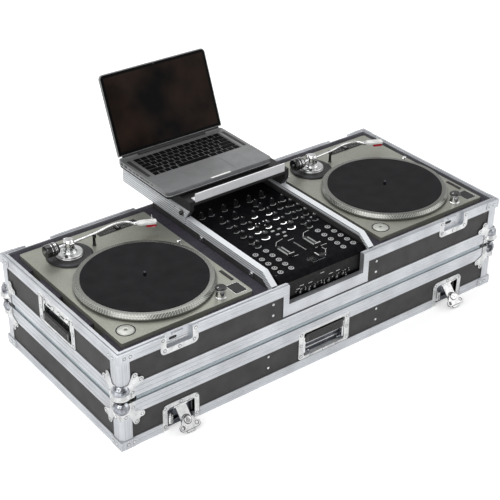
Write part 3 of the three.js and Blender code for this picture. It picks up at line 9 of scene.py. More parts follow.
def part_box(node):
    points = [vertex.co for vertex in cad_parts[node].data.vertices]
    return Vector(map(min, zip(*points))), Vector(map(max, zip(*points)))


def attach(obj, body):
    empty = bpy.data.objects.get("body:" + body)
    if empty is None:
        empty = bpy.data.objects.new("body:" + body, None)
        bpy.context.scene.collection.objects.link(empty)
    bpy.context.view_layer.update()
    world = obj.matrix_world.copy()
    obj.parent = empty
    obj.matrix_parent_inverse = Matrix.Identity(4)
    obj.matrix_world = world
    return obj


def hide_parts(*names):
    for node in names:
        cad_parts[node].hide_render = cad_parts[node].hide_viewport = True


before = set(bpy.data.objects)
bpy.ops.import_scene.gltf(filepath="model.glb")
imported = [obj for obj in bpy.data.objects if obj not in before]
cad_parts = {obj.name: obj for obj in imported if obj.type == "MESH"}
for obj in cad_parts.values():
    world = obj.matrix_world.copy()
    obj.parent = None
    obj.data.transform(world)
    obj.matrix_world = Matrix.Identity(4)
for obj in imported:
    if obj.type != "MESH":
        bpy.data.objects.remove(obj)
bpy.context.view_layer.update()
print('frame loaded,', len(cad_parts), 'solids')

# The fittings are drawn in millimetres round the middle of the case, as its maker would dimension
# it, and this carries them into the frame of the solids.
millimetre = 0.001
panelLow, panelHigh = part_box('lid_top_panel')
caseToRow = Matrix.Translation((0, (panelLow.y + panelHigh.y) / 2, 0)) @ Matrix.Scale(millimetre, 4)

case = {
    'halfWidth': 582, 'halfDepth': 260.5, 'lidTop': 122, 'baseBottom': 135, 'baseTop': 256,
    'plateX': 579.8, 'plateY': 258.3, 'edgeLeg': 35,
}


def colour(code):
    # sRGB hex to the linear values that Blender works in
    channels = [int(code[i:i + 2], 16) / 255 for i in (1, 3, 5)]
    return (*[c / 12.92 if c <= 0.04045 else ((c + 0.055) / 1.055) ** 2.4 for c in channels], 1.0)


def addNode(tree, kind, inputs=(), stops=(), **settings):
    # inputs by name or in order, where a node stands for its first output; stops are a ramp's
    node = tree.nodes.new(kind if 'Node' in kind else 'ShaderNode' + kind)
    for key, value in settings.items():
        setattr(node, key, value)
    for key, value in (inputs if isinstance(inputs, dict) else dict(enumerate(inputs))).items():
        if isinstance(value, bpy.types.Node):
            value = value.outputs[0]
        if isinstance(value, bpy.types.NodeSocket):
            tree.links.new(value, node.inputs[key])
        else:
            node.inputs[key].default_value = value
    while stops and len(node.color_ramp.elements) < len(stops):
        node.color_ramp.elements.new(0.5)
    for (position, value), element in zip(stops, node.color_ramp.elements if stops else ()):
        element.position = position
        element.color = value if isinstance(value, tuple) else (value, value, value, 1)
    return node


def patternOf(place, size, detail=2.0, roughness=0.5):
    # the inputs of a noise with features of this size in millimetres
    return {'Vector': place, 'Scale': 1 / (size * millimetre), 'Detail': detail,
            'Roughness': roughness}


def startMaterial(name):
    material = bpy.data.materials.new(name)
    material.use_nodes = True
    material.node_tree.nodes.clear()
    add = partial(addNode, material.node_tree)
    return material, add, add('TexCoord').outputs['Object']


def finishMaterial(material, add, tone, colours, roughness, relief, values):
    # colour over a span of one pattern, roughness over a span of another and relief from a third
    pattern, *span = tone
    made = dict(values)
    stops = [(position, colour(code)) for position, code in zip(span, colours)]
    made['Base Color'] = add('ValToRGB', {'Fac': pattern}, stops)
    if roughness:
        pattern, *stops = roughness
        made['Roughness'] = add('ValToRGB', {'Fac': pattern}, stops)
    if relief:
        pattern, strength, depth = relief
        made['Normal'] = add('Bump', {'Height': pattern, 'Strength': strength,
                                      'Distance': depth * millimetre})
    add('OutputMaterial', {'Surface': add('BsdfPrincipled', made)})
    return material


def meanOf(add, one, other):
    both = add('Math', (one, other), operation='ADD')
    return add('Math', (both, 0.5), operation='MULTIPLY')


def pressedLaminate(name, *colours):
    # phenolic laminate on birch plywood, pressed with a pebble texture that breaks up highlights
    material, add, place = startMaterial(name)
    cloud = add('TexNoise', patternOf(place, 45, 3))
    grain = add('TexNoise', patternOf(place, 1.4, 2, 0.6))
    # the pebbles are under 1 mm wide on the real sheet and are drawn coarser, so that they show
    pebble = add('TexVoronoi', {'Vector': place, 'Scale': 1 / (3.2 * millimetre)},
                 feature='SMOOTH_F1')
    return finishMaterial(material, add, (meanOf(add, cloud, grain), 0.38, 0.62), colours,
                          (grain, (0.3, 0.5), (0.7, 0.7)), (pebble, 0.5, 0.5),
                          {'Specular IOR Level': 0.35})


def metalOf(name, dark, light, low, high, cloudSize=30, metallic=1.0, grainSize=0.8, bump=0.04):
    # plated, cast or blasted metal: soft clouds where it is a little duller; where the two colours
    # lie far apart, as on chrome, the clouds are painted reflections
    material, add, place = startMaterial(name)
    cloud = add('TexNoise', patternOf(place, cloudSize, 4, 0.6))
    grain = add('TexNoise', patternOf(place, grainSize, 2))
    return finishMaterial(material, add, (cloud, 0.3, 0.7), (dark, light),
                          (cloud, (0.3, high), (0.7, low)), (grain, bump, 0.1),
                          {'Metallic': metallic})


def plasticOf(name, dark, light, low, high, grainSize=0.6, bump=0.1, coat=0.0, gloss=0.5,
              cloudSize=12):
    # moulded or printed plastic and sprayed coats: an even tone with a fine grain; a large cloud
    # over a wide span of colours, as on the display glass, is a painted reflection
    material, add, place = startMaterial(name)
    cloud = add('TexNoise', patternOf(place, cloudSize, 3))
    grain = add('TexNoise', patternOf(place, grainSize, 2))
    return finishMaterial(material, add, (cloud, 0.3, 0.7), (dark, light),
                          (grain, (0.35, low), (0.65, high)), (grain, bump, 0.1),
                          {'Coat Weight': coat, 'Specular IOR Level': gloss})


def drawnAluminium(name, dark, light, low, high):
    # extruded and satin anodised: the die leaves fine lines along each bar
    material, add, place = startMaterial(name)
    split = add('SeparateXYZ', (place,)).outputs
    level = add('SeparateXYZ', (add('NewGeometry').outputs['Normal'],)).outputs['Z']
    middle = add('Math', (split['Y'], -caseToRow.translation.y), operation='ADD')
    ends = [add('Math', (value,), operation='ABSOLUTE') for value in (split['X'], middle)]
    spare = [add('Math', (case[half] * millimetre, end), operation='SUBTRACT')
             for half, end in zip(('halfWidth', 'halfDepth'), ends)]
    sideBar = add('Math', spare, operation='LESS_THAN')
    post = add('Math', (add('Math', spare, operation='MAXIMUM'), case['edgeLeg'] * millimetre),
               operation='LESS_THAN')
    upright = add('Mix', {'Factor': post, 'A': split['Z'],
                          'B': add('Math', ends, operation='ADD')}, data_type='FLOAT')
    flat = add('Math', (add('Math', (level,), operation='ABSOLUTE'), 0.5),
               operation='GREATER_THAN')
    across = add('Mix', {'Factor': sideBar, 'A': split['Y'], 'B': split['X']}, data_type='FLOAT')
    lines = add('Mix', {'Factor': flat, 'A': upright, 'B': across}, data_type='FLOAT')
    ridges = add('TexNoise', {'W': lines, 'Scale': 1 / (2.4 * millimetre), 'Detail': 1.5,
                              'Roughness': 0.6}, noise_dimensions='1D')
    cloud = add('TexNoise', patternOf(place, 60, 3))
    return finishMaterial(material, add, (meanOf(add, ridges, cloud), 0.36, 0.62), (dark, light),
                          (ridges, (0.35, high), (0.65, low)), (ridges, 0.22, 0.3),
                          {'Metallic': 0.85})


def ribbedAluminium(name, groove, face, pitch):
    # satin bar with fine ribs one above the other, so that it shows level lines; the grooves take
    # the darker colour as painted shade
    material, add, place = startMaterial(name)
    level = add('SeparateXYZ', (add('NewGeometry').outputs['Normal'],)).outputs['Z']
    flat = add('Math', (level, 0.5), operation='GREATER_THAN')
    height = add('SeparateXYZ', (place,)).outputs['Z']
    wave = add('Math', (height, math.pi / (pitch * millimetre)), operation='MULTIPLY')
    for operation in ('SINE', 'ABSOLUTE'):
        wave = add('Math', (wave,), operation=operation)
    wave = add('Math', (wave, flat), operation='MAXIMUM')
    return finishMaterial(material, add, (wave, 0.25, 0.55), (groove, face), None,
                          (wave, 0.3, 0.3), {'Roughness': 0.42, 'Metallic': 0.3})


def openCellFoam(name, *colours):
    # polyurethane foam: small open cells, no gloss, edges a little paler with dust
    material, add, place = startMaterial(name)
    cells = add('TexVoronoi', {'Vector': place, 'Scale': 1 / (2.2 * millimetre)})
    cloud = add('TexNoise', patternOf(place, 30, 4, 0.6))
    return finishMaterial(material, add, (meanOf(add, cells, cloud), 0.3, 0.7), colours,
                          (cells, (0.2, 0.88), (0.7, 1.0)), (cells, 0.6, 0.6),
                          {'Specular IOR Level': 0.15, 'Sheen Weight': 0.05})


def metallicEnamel(name, *colours):
    # sprayed metallic paint with fine flakes under a satin lacquer
    material, add, place = startMaterial(name)
    flakes = add('TexVoronoi', {'Vector': place, 'Scale': 1 / (0.9 * millimetre)})
    flake = add('SeparateColor', (flakes.outputs['Color'],))
    cloud = add('TexNoise', patternOf(place, 80, 2))
    return finishMaterial(material, add, (meanOf(add, flake, cloud), 0.15, 0.85), colours,
                          (flake, (0.0, 0.42), (1.0, 0.3)), (flake, 0.05, 0.05),
                          {'Metallic': 0.55, 'Coat Weight': 0.2, 'Coat Roughness': 0.3})


def pressedFelt(name, *colours):
    # wool felt mat: short fibres that lie every way, with a soft sheen at grazing angles
    material, add, place = startMaterial(name)
    fibres = add('TexNoise', patternOf(place, 1.2, 4, 0.75))
    wear = add('TexNoise', patternOf(place, 40, 2))
    return finishMaterial(material, add, (meanOf(add, fibres, wear), 0.35, 0.65), colours,
                          (fibres, (0.3, 0.85), (0.7, 1.0)), (fibres, 0.4, 0.4),
                          {'Specular IOR Level': 0.1, 'Sheen Weight': 0.03,
                           'Sheen Roughness': 0.5})


def spunAluminium(name, centre, *colours):
    # turned on a lathe, so the fine grooves run round the spindle
    material, add, place = startMaterial(name)
    centred = add('Mapping', {'Vector': place, 'Location': (-centre.x, -centre.y, 0)})
    split = add('SeparateXYZ', (centred,)).outputs
    flat = add('CombineXYZ', {'X': split['X'], 'Y': split['Y']})
    radius = add('VectorMath', (flat,), operation='LENGTH').outputs['Value']
    rings = add('TexNoise', {'W': radius, 'Scale': 1 / (0.7 * millimetre), 'Detail': 1.0},
                noise_dimensions='1D')
    return finishMaterial(material, add, (rings, 0.3, 0.7), colours,
                          (rings, (0.3, 0.32), (0.7, 0.22)), (rings, 0.2, 0.1), {'Metallic': 1.0})


def litLens(name, tone, strength):
    # a lamp behind a clear plastic lens
    material, add, place = startMaterial(name)
    return finishMaterial(material, add, (add('TexNoise', patternOf(place, 3, 2)), 0.3, 0.7),
                          (tone, tone), None, None,
                          {'Emission Color': colour(tone), 'Emission Strength': strength,
                           'Roughness': 0.35})


# dark pebbled boards of the case, with broken highlights
laminate = pressedLaminate('pressedLaminate', '#2b2a2a', '#3f3e3e')
# the same sheet in a deeper black
shelfLaminate = pressedLaminate('blackShelfLaminate', '#151515', '#232323')
# pale satin bars with fine lines along them
edging = drawnAluminium('drawnAluminium', '#adafb3', '#c8cbcf', 0.3, 0.44)
# level bright and dark lines: painted shade in the grooves of the extruded ribs
railAluminium = ribbedAluminium('ribbedRailAluminium', '#66696d', '#d6d9dc', 6)
# finer ribs, a little bluish in the shade of the joint
jointAluminium = ribbedAluminium('ribbedJointAluminium', '#7d888e', '#b1bdc2', 4.2)
# nearly white and smooth: painted light, as anodised sheet looks turned to the lamps
lipAluminium = metalOf('paintedLightLipAluminium', '#dcdde0', '#efeff2', 0.3, 0.42, 50, 0.15)
# bright grey hardware with a soft, cloudy gloss
zincSteel = metalOf('zincPlatedSteel', '#b4b5b6', '#dfe0e0', 0.24, 0.38, 22)
# sharper and whiter highlights than zinc
brightSteel = metalOf('nickelPlatedSteel', '#c2c3c4', '#ececec', 0.1, 0.2, 18, bump=0.02)
# a mirror: dark, with light clouds in its colour as painted reflections of white bands
chrome = metalOf('polishedChrome', '#15171b', '#c4c7ce', 0.03, 0.08, 14, bump=0.004)
# silvery and a little rough from the press
pressedSteel = metalOf('pressedSteel', '#c9cacb', '#ededed', 0.26, 0.4, 9, 0.6, bump=0.05)
# warm, dull grey of a die casting
adapterZinc = metalOf('castAdapterZinc', '#a3a59f', '#c0c2bb', 0.3, 0.45, 20, 0.4)
# dark wire; the darkness is a painted reflection of dark surroundings
springSteel = metalOf('springSteel', '#5d616b', '#8d919b', 0.2, 0.32, 6)
# darker steel: painted shade in recesses, behind sheet edges and round rivet heads, and the dark
# spindle and rings
shadowSteel = metalOf('darkSteelAndPaintedShade', '#303237', '#62656b', 0.22, 0.42, 14)
# duller than the plates, as little light reaches it
dishSteel = metalOf('pressedDishSteel', '#9b9da0', '#c6c8ca', 0.3, 0.45, 14, 0.3)
# even mid grey without lines
laptopShell = metalOf('beadBlastedAluminium', '#747576', '#858687', 0.36, 0.46, 60, 0.8, 0.3, 0.06)
# black with long, soft highlights
gripRubber = plasticOf('glossyGripRubber', '#0a0a0b', '#141415', 0.14, 0.22, 0.8, 0.05, 0.15)
# flat black with almost no gloss
mixerEnamel = plasticOf('blackPowderCoat', '#0b0b0d', '#151518', 0.4, 0.6, 0.5, 0.25, gloss=0.02)
# a lighter black on the front face: painted light where it catches the lamps
frontEnamel = plasticOf('paintedLightPowderCoat', '#1a1a1a', '#282827', 0.35, 0.5, 0.5, 0.2, gloss=0.1)
# satin black, with a rim of light on each flute
knobRubber = plasticOf('softTouchKnob', '#101012', '#1f1f22', 0.2, 0.34, 0.4, 0.15)
# chalky ink, a little grey
whitePrint = plasticOf('whiteScreenPrint', '#c6c8c6', '#d8dad8', 0.5, 0.6)
# ink that recedes beside the white
greyPrint = plasticOf('greyScreenPrint', '#7c7f7e', '#8f9291', 0.5, 0.6)
# milky grey keys that scatter light
padRubber = plasticOf('siliconePad', '#8b8d8e', '#aaacac', 0.45, 0.6, 0.6, 0.15)
# off-white caps
faderPlastic = plasticOf('faderCapAbs', '#c6c6c5', '#dededc', 0.35, 0.5)
# wet-looking black
blackGloss = plasticOf('blackGlossAbs', '#070708', '#0f0f11', 0.1, 0.18, 1.0, 0.03, 0.3)
# black behind glass, deeper than the plastic
bezelBlack = plasticOf('paintedBezelGlass', '#050505', '#090909', 0.06, 0.1, 5, 0.0, gloss=0.03)
# black that shows form by its edges alone
blackMatt = plasticOf('blackMattAbs', '#101011', '#1b1b1d', 0.45, 0.6, gloss=0.4)
# clean white with a soft gloss
shellWhite = plasticOf('whiteHeadshell', '#d2d2d0', '#e8e8e6', 0.25, 0.35)
# clear red under a lacquer
cartridgeRed = plasticOf('redCartridgeAbs', '#a01425', '#c11d30', 0.2, 0.3, coat=0.4)
# black caps that stay dark from every side
laptopKey = plasticOf('keycapAbs', '#070708', '#0f0f11', 0.4, 0.5, 0.4, 0.1, gloss=0.02)
# dark glass with a brown clouding: a painted reflection of a room
screenGlass = plasticOf('displayGlass', '#070606', '#2a1f1a', 0.04, 0.06, 5, 0.0, gloss=0.03,
                        cloudSize=110)
# white light behind a ring
ringLight = litLens('ledRing', '#ffffff', 0.9)
# the same ring unlit and grey, with a faint glow of painted light
dimRing = litLens('dimLedRing', '#9da1a0', 0.15)
# charcoal with open cells
foam = openCellFoam('packingFoam', '#2a2830', '#423f48')
# greenish champagne that glints
deckEnamel = metallicEnamel('champagneMetallicEnamel', '#7f8076', '#9c9d93')
# deep black cloth without a highlight
felt = pressedFelt('woolFelt', '#161618', '#212123')
print('materials made')


def shift(x, y, z):
    return Matrix.Translation((x, y, z))


def turn(axis, degrees):
    return Matrix.Rotation(math.radians(degrees), 4, axis)


# these carry a flat outline's thickness along another axis of the case
identity = Matrix.Identity(4)
towardX = Matrix(((0, 0, 1, 0), (1, 0, 0, 0), (0, 1, 0, 0), (0, 0, 0, 1)))
towardFront = Matrix(((1, 0, 0, 0), (0, 0, -1, 0), (0, 1, 0, 0), (0, 0, 0, 1)))


def bevelSharp(made, width, steps=2):
    least = math.radians(50)
    edges = [e for e in made.edges if e.is_manifold and e.calc_face_angle() > least]
    if width > 0 and edges:
        bmesh.ops.bevel(made, geom=edges, offset=width, segments=steps, profile=0.5,
                        affect='EDGES', clamp_overlap=True)
    return made


def arcPoints(x, y, radius, start, end, steps):
    angles = [math.radians(start + (end - start) * i / steps) for i in range(steps + 1)]
    return [(x + radius * math.cos(angle), y + radius * math.sin(angle)) for angle in angles]


def circlePoints(radius, sides=24, x=0, y=0):
    return arcPoints(x, y, radius, 0, 360, sides)[:-1]


def roundedBox(width, height, lowRadius, highRadius=None, steps=6, x=0, y=0):
    highRadius = lowRadius if highRadius is None else highRadius
    points = []
    for signX, signY, start in ((1, -1, 270), (1, 1, 0), (-1, 1, 90), (-1, -1, 180)):
        radius = lowRadius if signY < 0 else highRadius
        points += arcPoints(x + signX * (width / 2 - radius), y + signY * (height / 2 - radius),
                            radius, start, start + 90, steps)
    return points


def softened(points, radius, steps=3, loop=False):
    # the same line with its corners rounded
    made = []
    for i, corner in enumerate(points):
        here = Vector(corner)
        if not loop and i in (0, len(points) - 1):
            made.append(tuple(here))
            continue
        before = Vector(points[i - 1]) - here
        after = Vector(points[(i + 1) % len(points)]) - here
        reach = min(radius, before.length * 0.48, after.length * 0.48)
        start = here + before.normalized() * reach
        end = here + after.normalized() * reach
        for step in range(steps + 1):
            t = step / steps
            made.append(tuple(start * (1 - t) ** 2 + here * 2 * t * (1 - t) + end * t * t))
    return made


def curveThrough(points, steps):
    # Catmull-Rom curve through the points
    line = [Vector(point) for point in points]
    line = [line[0] * 2 - line[1]] + line + [line[-1] * 2 - line[-2]]
    made = []
    for a, b, c, d in zip(line, line[1:], line[2:], line[3:]):
        for i in range(steps):
            t = i / steps
            made.append(0.5 * ((2 * b) + (c - a) * t + (2 * a - 5 * b + 4 * c - d) * t * t
                               + (3 * b - a - 3 * c + d) * t ** 3))
    return made + [line[-2]]


def roundBlock(low, high, bevel=0.0, steps=2):
    made = bmesh.new()
    bmesh.ops.create_cube(made, size=1)
    size = [abs(b - a) for a, b in zip(low, high)]
    middle = [(a + b) / 2 for a, b in zip(low, high)]
    made.transform(shift(*middle) @ Matrix.Diagonal((*size, 1)))
    return bevelSharp(made, bevel, steps)


def sheet(loops, low, high, bevel=0.0, steps=2):
    # a flat sheet with its thickness along z; the loops after the first are holes
    made = bmesh.new()
    for loop in loops:
        corners = [made.verts.new((*point, low)) for point in loop]
        if len(loops) == 1:
            made.faces.new(corners)
        else:
            for here, there in zip(corners, corners[1:] + corners[:1]):
                made.edges.new((here, there))
    if len(loops) > 1:
        bmesh.ops.triangle_fill(made, use_beauty=True, use_dissolve=False, edges=made.edges[:])
    grown = bmesh.ops.extrude_face_region(made, geom=made.faces[:])
    raised = [item for item in grown['geom'] if isinstance(item, bmesh.types.BMVert)]
    bmesh.ops.translate(made, vec=(0, 0, high - low), verts=raised)
    bmesh.ops.recalc_face_normals(made, faces=made.faces[:])
    return bevelSharp(made, bevel, steps)


def turnedForm(profile, sides=48, rounding=0.0, steps=3):
    # a lathe form round z from (radius, height) points; one that ends where it starts is a ring
    if rounding:
        profile = softened(profile, rounding, steps)
    made = bmesh.new()
    rings = []
    closed = profile[0] == profile[-1]
    for radius, height in profile[:-1] if closed else profile:
        places = [(0, 0)] if radius < 1e-6 else circlePoints(radius, sides)
        rings.append([made.verts.new((x, y, height)) for x, y in places])
    if closed:
        rings.append(rings[0])
    for ringA, ringB in zip(rings, rings[1:]):
        for i in range(sides):
            j = (i + 1) % sides
            corners = dict.fromkeys((ringA[i % len(ringA)], ringA[j % len(ringA)],
                                     ringB[j % len(ringB)], ringB[i % len(ringB)]))
            if len(corners) > 2:
                made.faces.new(list(corners))
    bmesh.ops.recalc_face_normals(made, faces=made.faces[:])
    return made


def tube(points, radii, sides=12):
    # a round bar along a line of points; radii is one size or one for each point
    made = bmesh.new()
    line = [Vector(point) for point in points]
    side = None
    rings = []
    for i, centre in enumerate(line):
        ahead = (line[min(i + 1, len(line) - 1)] - line[max(i - 1, 0)]).normalized()
        if side is None:
            side = ahead.orthogonal().normalized()
        side = (side - ahead * side.dot(ahead)).normalized()
        other = ahead.cross(side)
        radius = radii[i] if isinstance(radii, list) else radii
        rings.append([made.verts.new(centre + side * x + other * y)
                      for x, y in circlePoints(radius, sides)])
    for ringA, ringB in zip(rings, rings[1:]):
        for k in range(sides):
            made.faces.new((ringA[k], ringA[(k + 1) % sides], ringB[(k + 1) % sides], ringB[k]))
    made.faces.new(rings[0][::-1])
    made.faces.new(rings[-1])
    bmesh.ops.recalc_face_normals(made, faces=made.faces[:])
    return made


class Piece:
    # parts in millimetres, joined into one object that rides on a body
    def __init__(self, name, place=identity):
        self.name, self.place, self.mesh, self.finishes = name, place, bmesh.new(), []

    def add(self, finish, made, place=identity):
        placing = self.place @ place
        if finish not in self.finishes:
            self.finishes.append(finish)
        for face in made.faces:
            face.material_index = self.finishes.index(finish)
        made.transform(placing)
        if placing.determinant() < 0:
            bmesh.ops.reverse_faces(made, faces=made.faces[:])
        held = bpy.data.meshes.new('held')
        made.to_mesh(held)
        made.free()
        self.mesh.from_mesh(held)
        bpy.data.meshes.remove(held)

    def block(self, finish, low, high, bevel=0.0, place=identity):
        self.add(finish, roundBlock(low, high, bevel), place)

    def sheet(self, finish, loops, low, high, bevel=0.0, place=identity, steps=2):
        self.add(finish, sheet(loops, low, high, bevel, steps), place)

    def turned(self, finish, profile, sides, rounding=0.0, place=identity, steps=3):
        self.add(finish, turnedForm(profile, sides, rounding, steps), place)

    def grow(self, finish, kind, points, attributes=None, sizes=None, place=identity):
        made = grow('grown', kind, finish, points, attributes, sizes)
        part = bmesh.new()
        part.from_mesh(made.data)
        part.transform(caseToRow.inverted())
        bpy.data.objects.remove(made)
        self.add(finish, part, place)

    def finish(self, body, slot, *replaced, sharpAngle=32):
        mesh = bpy.data.meshes.new(self.name)
        self.mesh.transform(caseToRow)
        self.mesh.to_mesh(mesh)
        self.mesh.free()
        for finish in self.finishes:
            mesh.materials.append(finish)
        mesh.polygons.foreach_set('use_smooth', [True] * len(mesh.polygons))
        mesh.set_sharp_from_angle(angle=math.radians(sharpAngle))
        made = bpy.data.objects.new(self.name, mesh)
        bpy.context.scene.collection.objects.link(made)
        # keeps each flat flat beside its rolled edges
        made.modifiers.new('flats', 'WEIGHTED_NORMAL').keep_sharp = True
        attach(made, body)
        if replaced:
            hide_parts(*replaced)
        return made


def startShapeTree(name, sockets):
    tree = bpy.data.node_groups.new(name, 'GeometryNodeTree')
    tree.interface.new_socket('Geometry', in_out='INPUT', socket_type='NodeSocketGeometry')
    for label, value in sockets.items():
        kind = 'NodeSocketInt' if isinstance(value, int) else 'NodeSocketFloat'
        tree.interface.new_socket(label, in_out='INPUT', socket_type=kind).default_value = value
    tree.interface.new_socket('Geometry', in_out='OUTPUT', socket_type='NodeSocketGeometry')
    add = partial(addNode, tree)
    return tree, add, add('NodeGroupInput').outputs


def placeInstances(tree, add, shape, points, rotation=None, smooth=False, **more):
    # without a rotation of its own, the z of each instance looks along the point's facing
    if rotation is None:
        facing = add('GeometryNodeInputNamedAttribute', {'Name': 'facing'},
                     data_type='FLOAT_VECTOR')
        rotation = add('FunctionNodeAlignRotationToVector', {'Vector': facing}, axis='Z')
    real = add('GeometryNodeRealizeInstances', (add('GeometryNodeInstanceOnPoints', {
        'Points': points, 'Instance': shape, 'Rotation': rotation, **more}),))
    if smooth:
        real = add('GeometryNodeSetShadeSmooth', (real,))
    finish = add('GeometryNodeSetMaterial', {'Geometry': real})
    add('NodeGroupOutput', (finish,))
    return tree, finish


def rivetTree():
    # domed heads, half sunk in the sheet that they hold
    tree, add, given = startShapeTree('rivetHeads', {'Radius': 0.0034, 'Dome': 0.0013})
    head = add('GeometryNodeMeshUVSphere', {'Segments': 14, 'Rings': 8, 'Radius': 1.0})
    flat = add('CombineXYZ', [given[key] for key in ('Radius', 'Radius', 'Dome')])
    shaped = add('GeometryNodeTransform', {0: head, 'Scale': flat})
    return placeInstances(tree, add, shaped, given['Geometry'], smooth=True)


def screwTree():
    # pan heads with a socket in the middle
    tree, add, given = startShapeTree('screwHeads', {'Radius': 0.0032, 'Height': 0.0016})
    head = add('GeometryNodeMeshCylinder', {
        'Vertices': 20, 'Side Segments': 1, 'Fill Segments': 3, 'Radius': given['Radius'],
        'Depth': given['Height']})
    split = add('SeparateXYZ', (add('GeometryNodeInputPosition'),)).outputs
    level = add('CombineXYZ', {'X': split['X'], 'Y': split['Y']})
    radius = add('VectorMath', (level,), operation='LENGTH').outputs['Value']
    inner = add('Math', (given['Radius'], 0.5), operation='MULTIPLY')
    near = add('Math', (radius, inner), operation='LESS_THAN')
    high = add('Math', (split['Z'], 0.0), operation='GREATER_THAN')
    drop = add('Math', (near, high), operation='MULTIPLY')
    for factor in (given['Height'], -0.7):
        drop = add('Math', (drop, factor), operation='MULTIPLY')
    dished = add('GeometryNodeSetPosition', {
        'Geometry': head, 'Offset': add('CombineXYZ', {'Z': drop})})
    return placeInstances(tree, add, dished, given['Geometry'])


def knobTree():
    # tapered knob with a fluted side: every second side point is drawn in
    tree, add, given = startShapeTree('flutedKnobs', {
        'Radius': 0.007, 'Height': 0.015, 'Taper': 0.8, 'Flute': 0.93})
    body = add('GeometryNodeMeshCylinder', {
        'Vertices': 32, 'Side Segments': 4, 'Fill Segments': 2, 'Radius': given['Radius'],
        'Depth': given['Height']})
    odd = add('Math', (add('GeometryNodeInputIndex'), 2.0), operation='MODULO')
    flute = add('MapRange', {'Value': odd, 'To Min': 1.0, 'To Max': given['Flute']})
    place = add('GeometryNodeInputPosition')
    half = add('Math', (given['Height'], 0.5), operation='MULTIPLY')
    taper = add('MapRange', {
        'Value': add('SeparateXYZ', (place,)).outputs['Z'],
        'From Min': add('Math', (half, -1.0), operation='MULTIPLY'), 'From Max': half,
        'To Min': 1.0, 'To Max': given['Taper']})
    both = add('Math', (flute, taper), operation='MULTIPLY')
    size = add('CombineXYZ', (both, both, 1.0))
    shaped = add('GeometryNodeSetPosition', {
        'Geometry': body, 'Position': add('VectorMath', (place, size), operation='MULTIPLY'),
        'Offset': add('CombineXYZ', {'Z': half})})
    return placeInstances(tree, add, shaped, given['Geometry'])


def keyTree():
    # blocks drawn in at the top, each with its own size
    tree, add, given = startShapeTree('taperedKeys', {'Taper': 0.9})
    cube = add('GeometryNodeMeshCube', {
        'Size': (1, 1, 1), 'Vertices X': 2, 'Vertices Y': 2, 'Vertices Z': 2})
    place = add('GeometryNodeInputPosition')
    taper = add('MapRange', {
        'Value': add('SeparateXYZ', (place,)).outputs['Z'], 'From Min': -0.5, 'From Max': 0.5,
        'To Min': 1.0, 'To Max': given['Taper']})
    drawn = add('VectorMath', (place, add('CombineXYZ', (taper, taper, 1.0))),
                operation='MULTIPLY')
    shaped = add('GeometryNodeSetPosition', {'Geometry': cube, 'Position': drawn})
    turning, size = [add('GeometryNodeInputNamedAttribute', {'Name': name},
                         data_type='FLOAT_VECTOR') for name in ('turning', 'size')]
    rotation = add('FunctionNodeEulerToRotation', (turning,))
    return placeInstances(tree, add, shaped, given['Geometry'], rotation, Scale=size)


def strobeTree():
    # rows of raised dots round the rim of a platter
    tree, add, given = startShapeTree('strobeDots', {
        'Count': 180, 'Radius': 0.16, 'Level': 0.0, 'Dot': 0.001, 'Tall': 0.0016,
        'Proud': 0.0003, 'Lean': 0.0})
    ring = add('GeometryNodeMeshCircle', {'Vertices': given['Count'], 'Radius': given['Radius']})
    moved = add('GeometryNodeSetPosition', {
        'Geometry': ring, 'Offset': add('CombineXYZ', {'Z': given['Level']})})
    split = add('SeparateXYZ', (add('GeometryNodeInputPosition'),)).outputs
    level = add('CombineXYZ', {'X': split['X'], 'Y': split['Y']})
    out = add('VectorMath', (level,), operation='NORMALIZE')
    tipped = add('VectorMath', (out, add('CombineXYZ', {'Z': given['Lean']})), operation='ADD')
    # x of each dot points out from the rim and its z leans up the bevel
    rotation = add('FunctionNodeAlignRotationToVector', {'Vector': tipped}, axis='X')
    size = add('CombineXYZ', [given[key] for key in ('Proud', 'Dot', 'Tall')])
    cube = add('GeometryNodeMeshCube', {'Size': (1, 1, 1)})
    shaped = add('GeometryNodeTransform', {0: cube, 'Scale': size})
    return placeInstances(tree, add, shaped, moved, rotation)


trees = {'rivet': rivetTree(), 'screw': screwTree(), 'knob': knobTree(), 'key': keyTree(),
         'strobe': strobeTree()}


def grow(name, kind, material, points, attributes=None, sizes=None):
    # runs a tree on points in millimetres and keeps the plain mesh; an attribute is one vector
    # for all points or one for each
    tree, finish = trees[kind]
    finish.inputs['Material'].default_value = material
    cloud = bpy.data.meshes.new(name)
    cloud.from_pydata([caseToRow @ Vector(point) for point in points], [], [])
    for label, vectors in (attributes or {}).items():
        if isinstance(vectors, tuple):
            vectors = [vectors] * len(points)
        layer = cloud.attributes.new(label, 'FLOAT_VECTOR', 'POINT')
        layer.data.foreach_set('vector', [value for vector in vectors for value in vector])
    carrier = bpy.data.objects.new(name, cloud)
    bpy.context.scene.collection.objects.link(carrier)
    modifier = carrier.modifiers.new(name, 'NODES')
    modifier.node_group = tree
    for item in tree.interface.items_tree:
        if item.in_out == 'INPUT' and item.name in (sizes or {}):
            modifier[item.identifier] = sizes[item.name]
    bpy.context.view_layer.update()
    grown = carrier.evaluated_get(bpy.context.evaluated_depsgraph_get())
    mesh = bpy.data.meshes.new_from_object(grown)
    carrier.modifiers.clear()
    carrier.data = mesh
    return carrier


rivets = {}


def addRivets(body, place, places, normal=(0, -1, 0)):
    # remembers rivet places, given in the frame of a fitting, until the body's fittings are done
    facing = (place.to_3x3() @ Vector(normal)).normalized()
    rivets.setdefault(body, []).extend((place @ Vector(spot), facing) for spot in places)


print('tools ready')

# finishes of the solids that stay as they are
for material, names in (
        (laminate, ('lid_top_panel', 'lid_wall_frame', 'base_floor_panel', 'base_wall_frame',
                    'bay_wall_left', 'bay_wall_right')),
        (edging, ('lid_edge_frame', 'base_edge_frame')),
        (railAluminium, ('glide_rail_left', 'glide_rail_right')),
        (shelfLaminate, ('glide_shelf',))):
    for name in names:
        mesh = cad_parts[name].data
        mesh.materials.clear()
        mesh.materials.append(material)

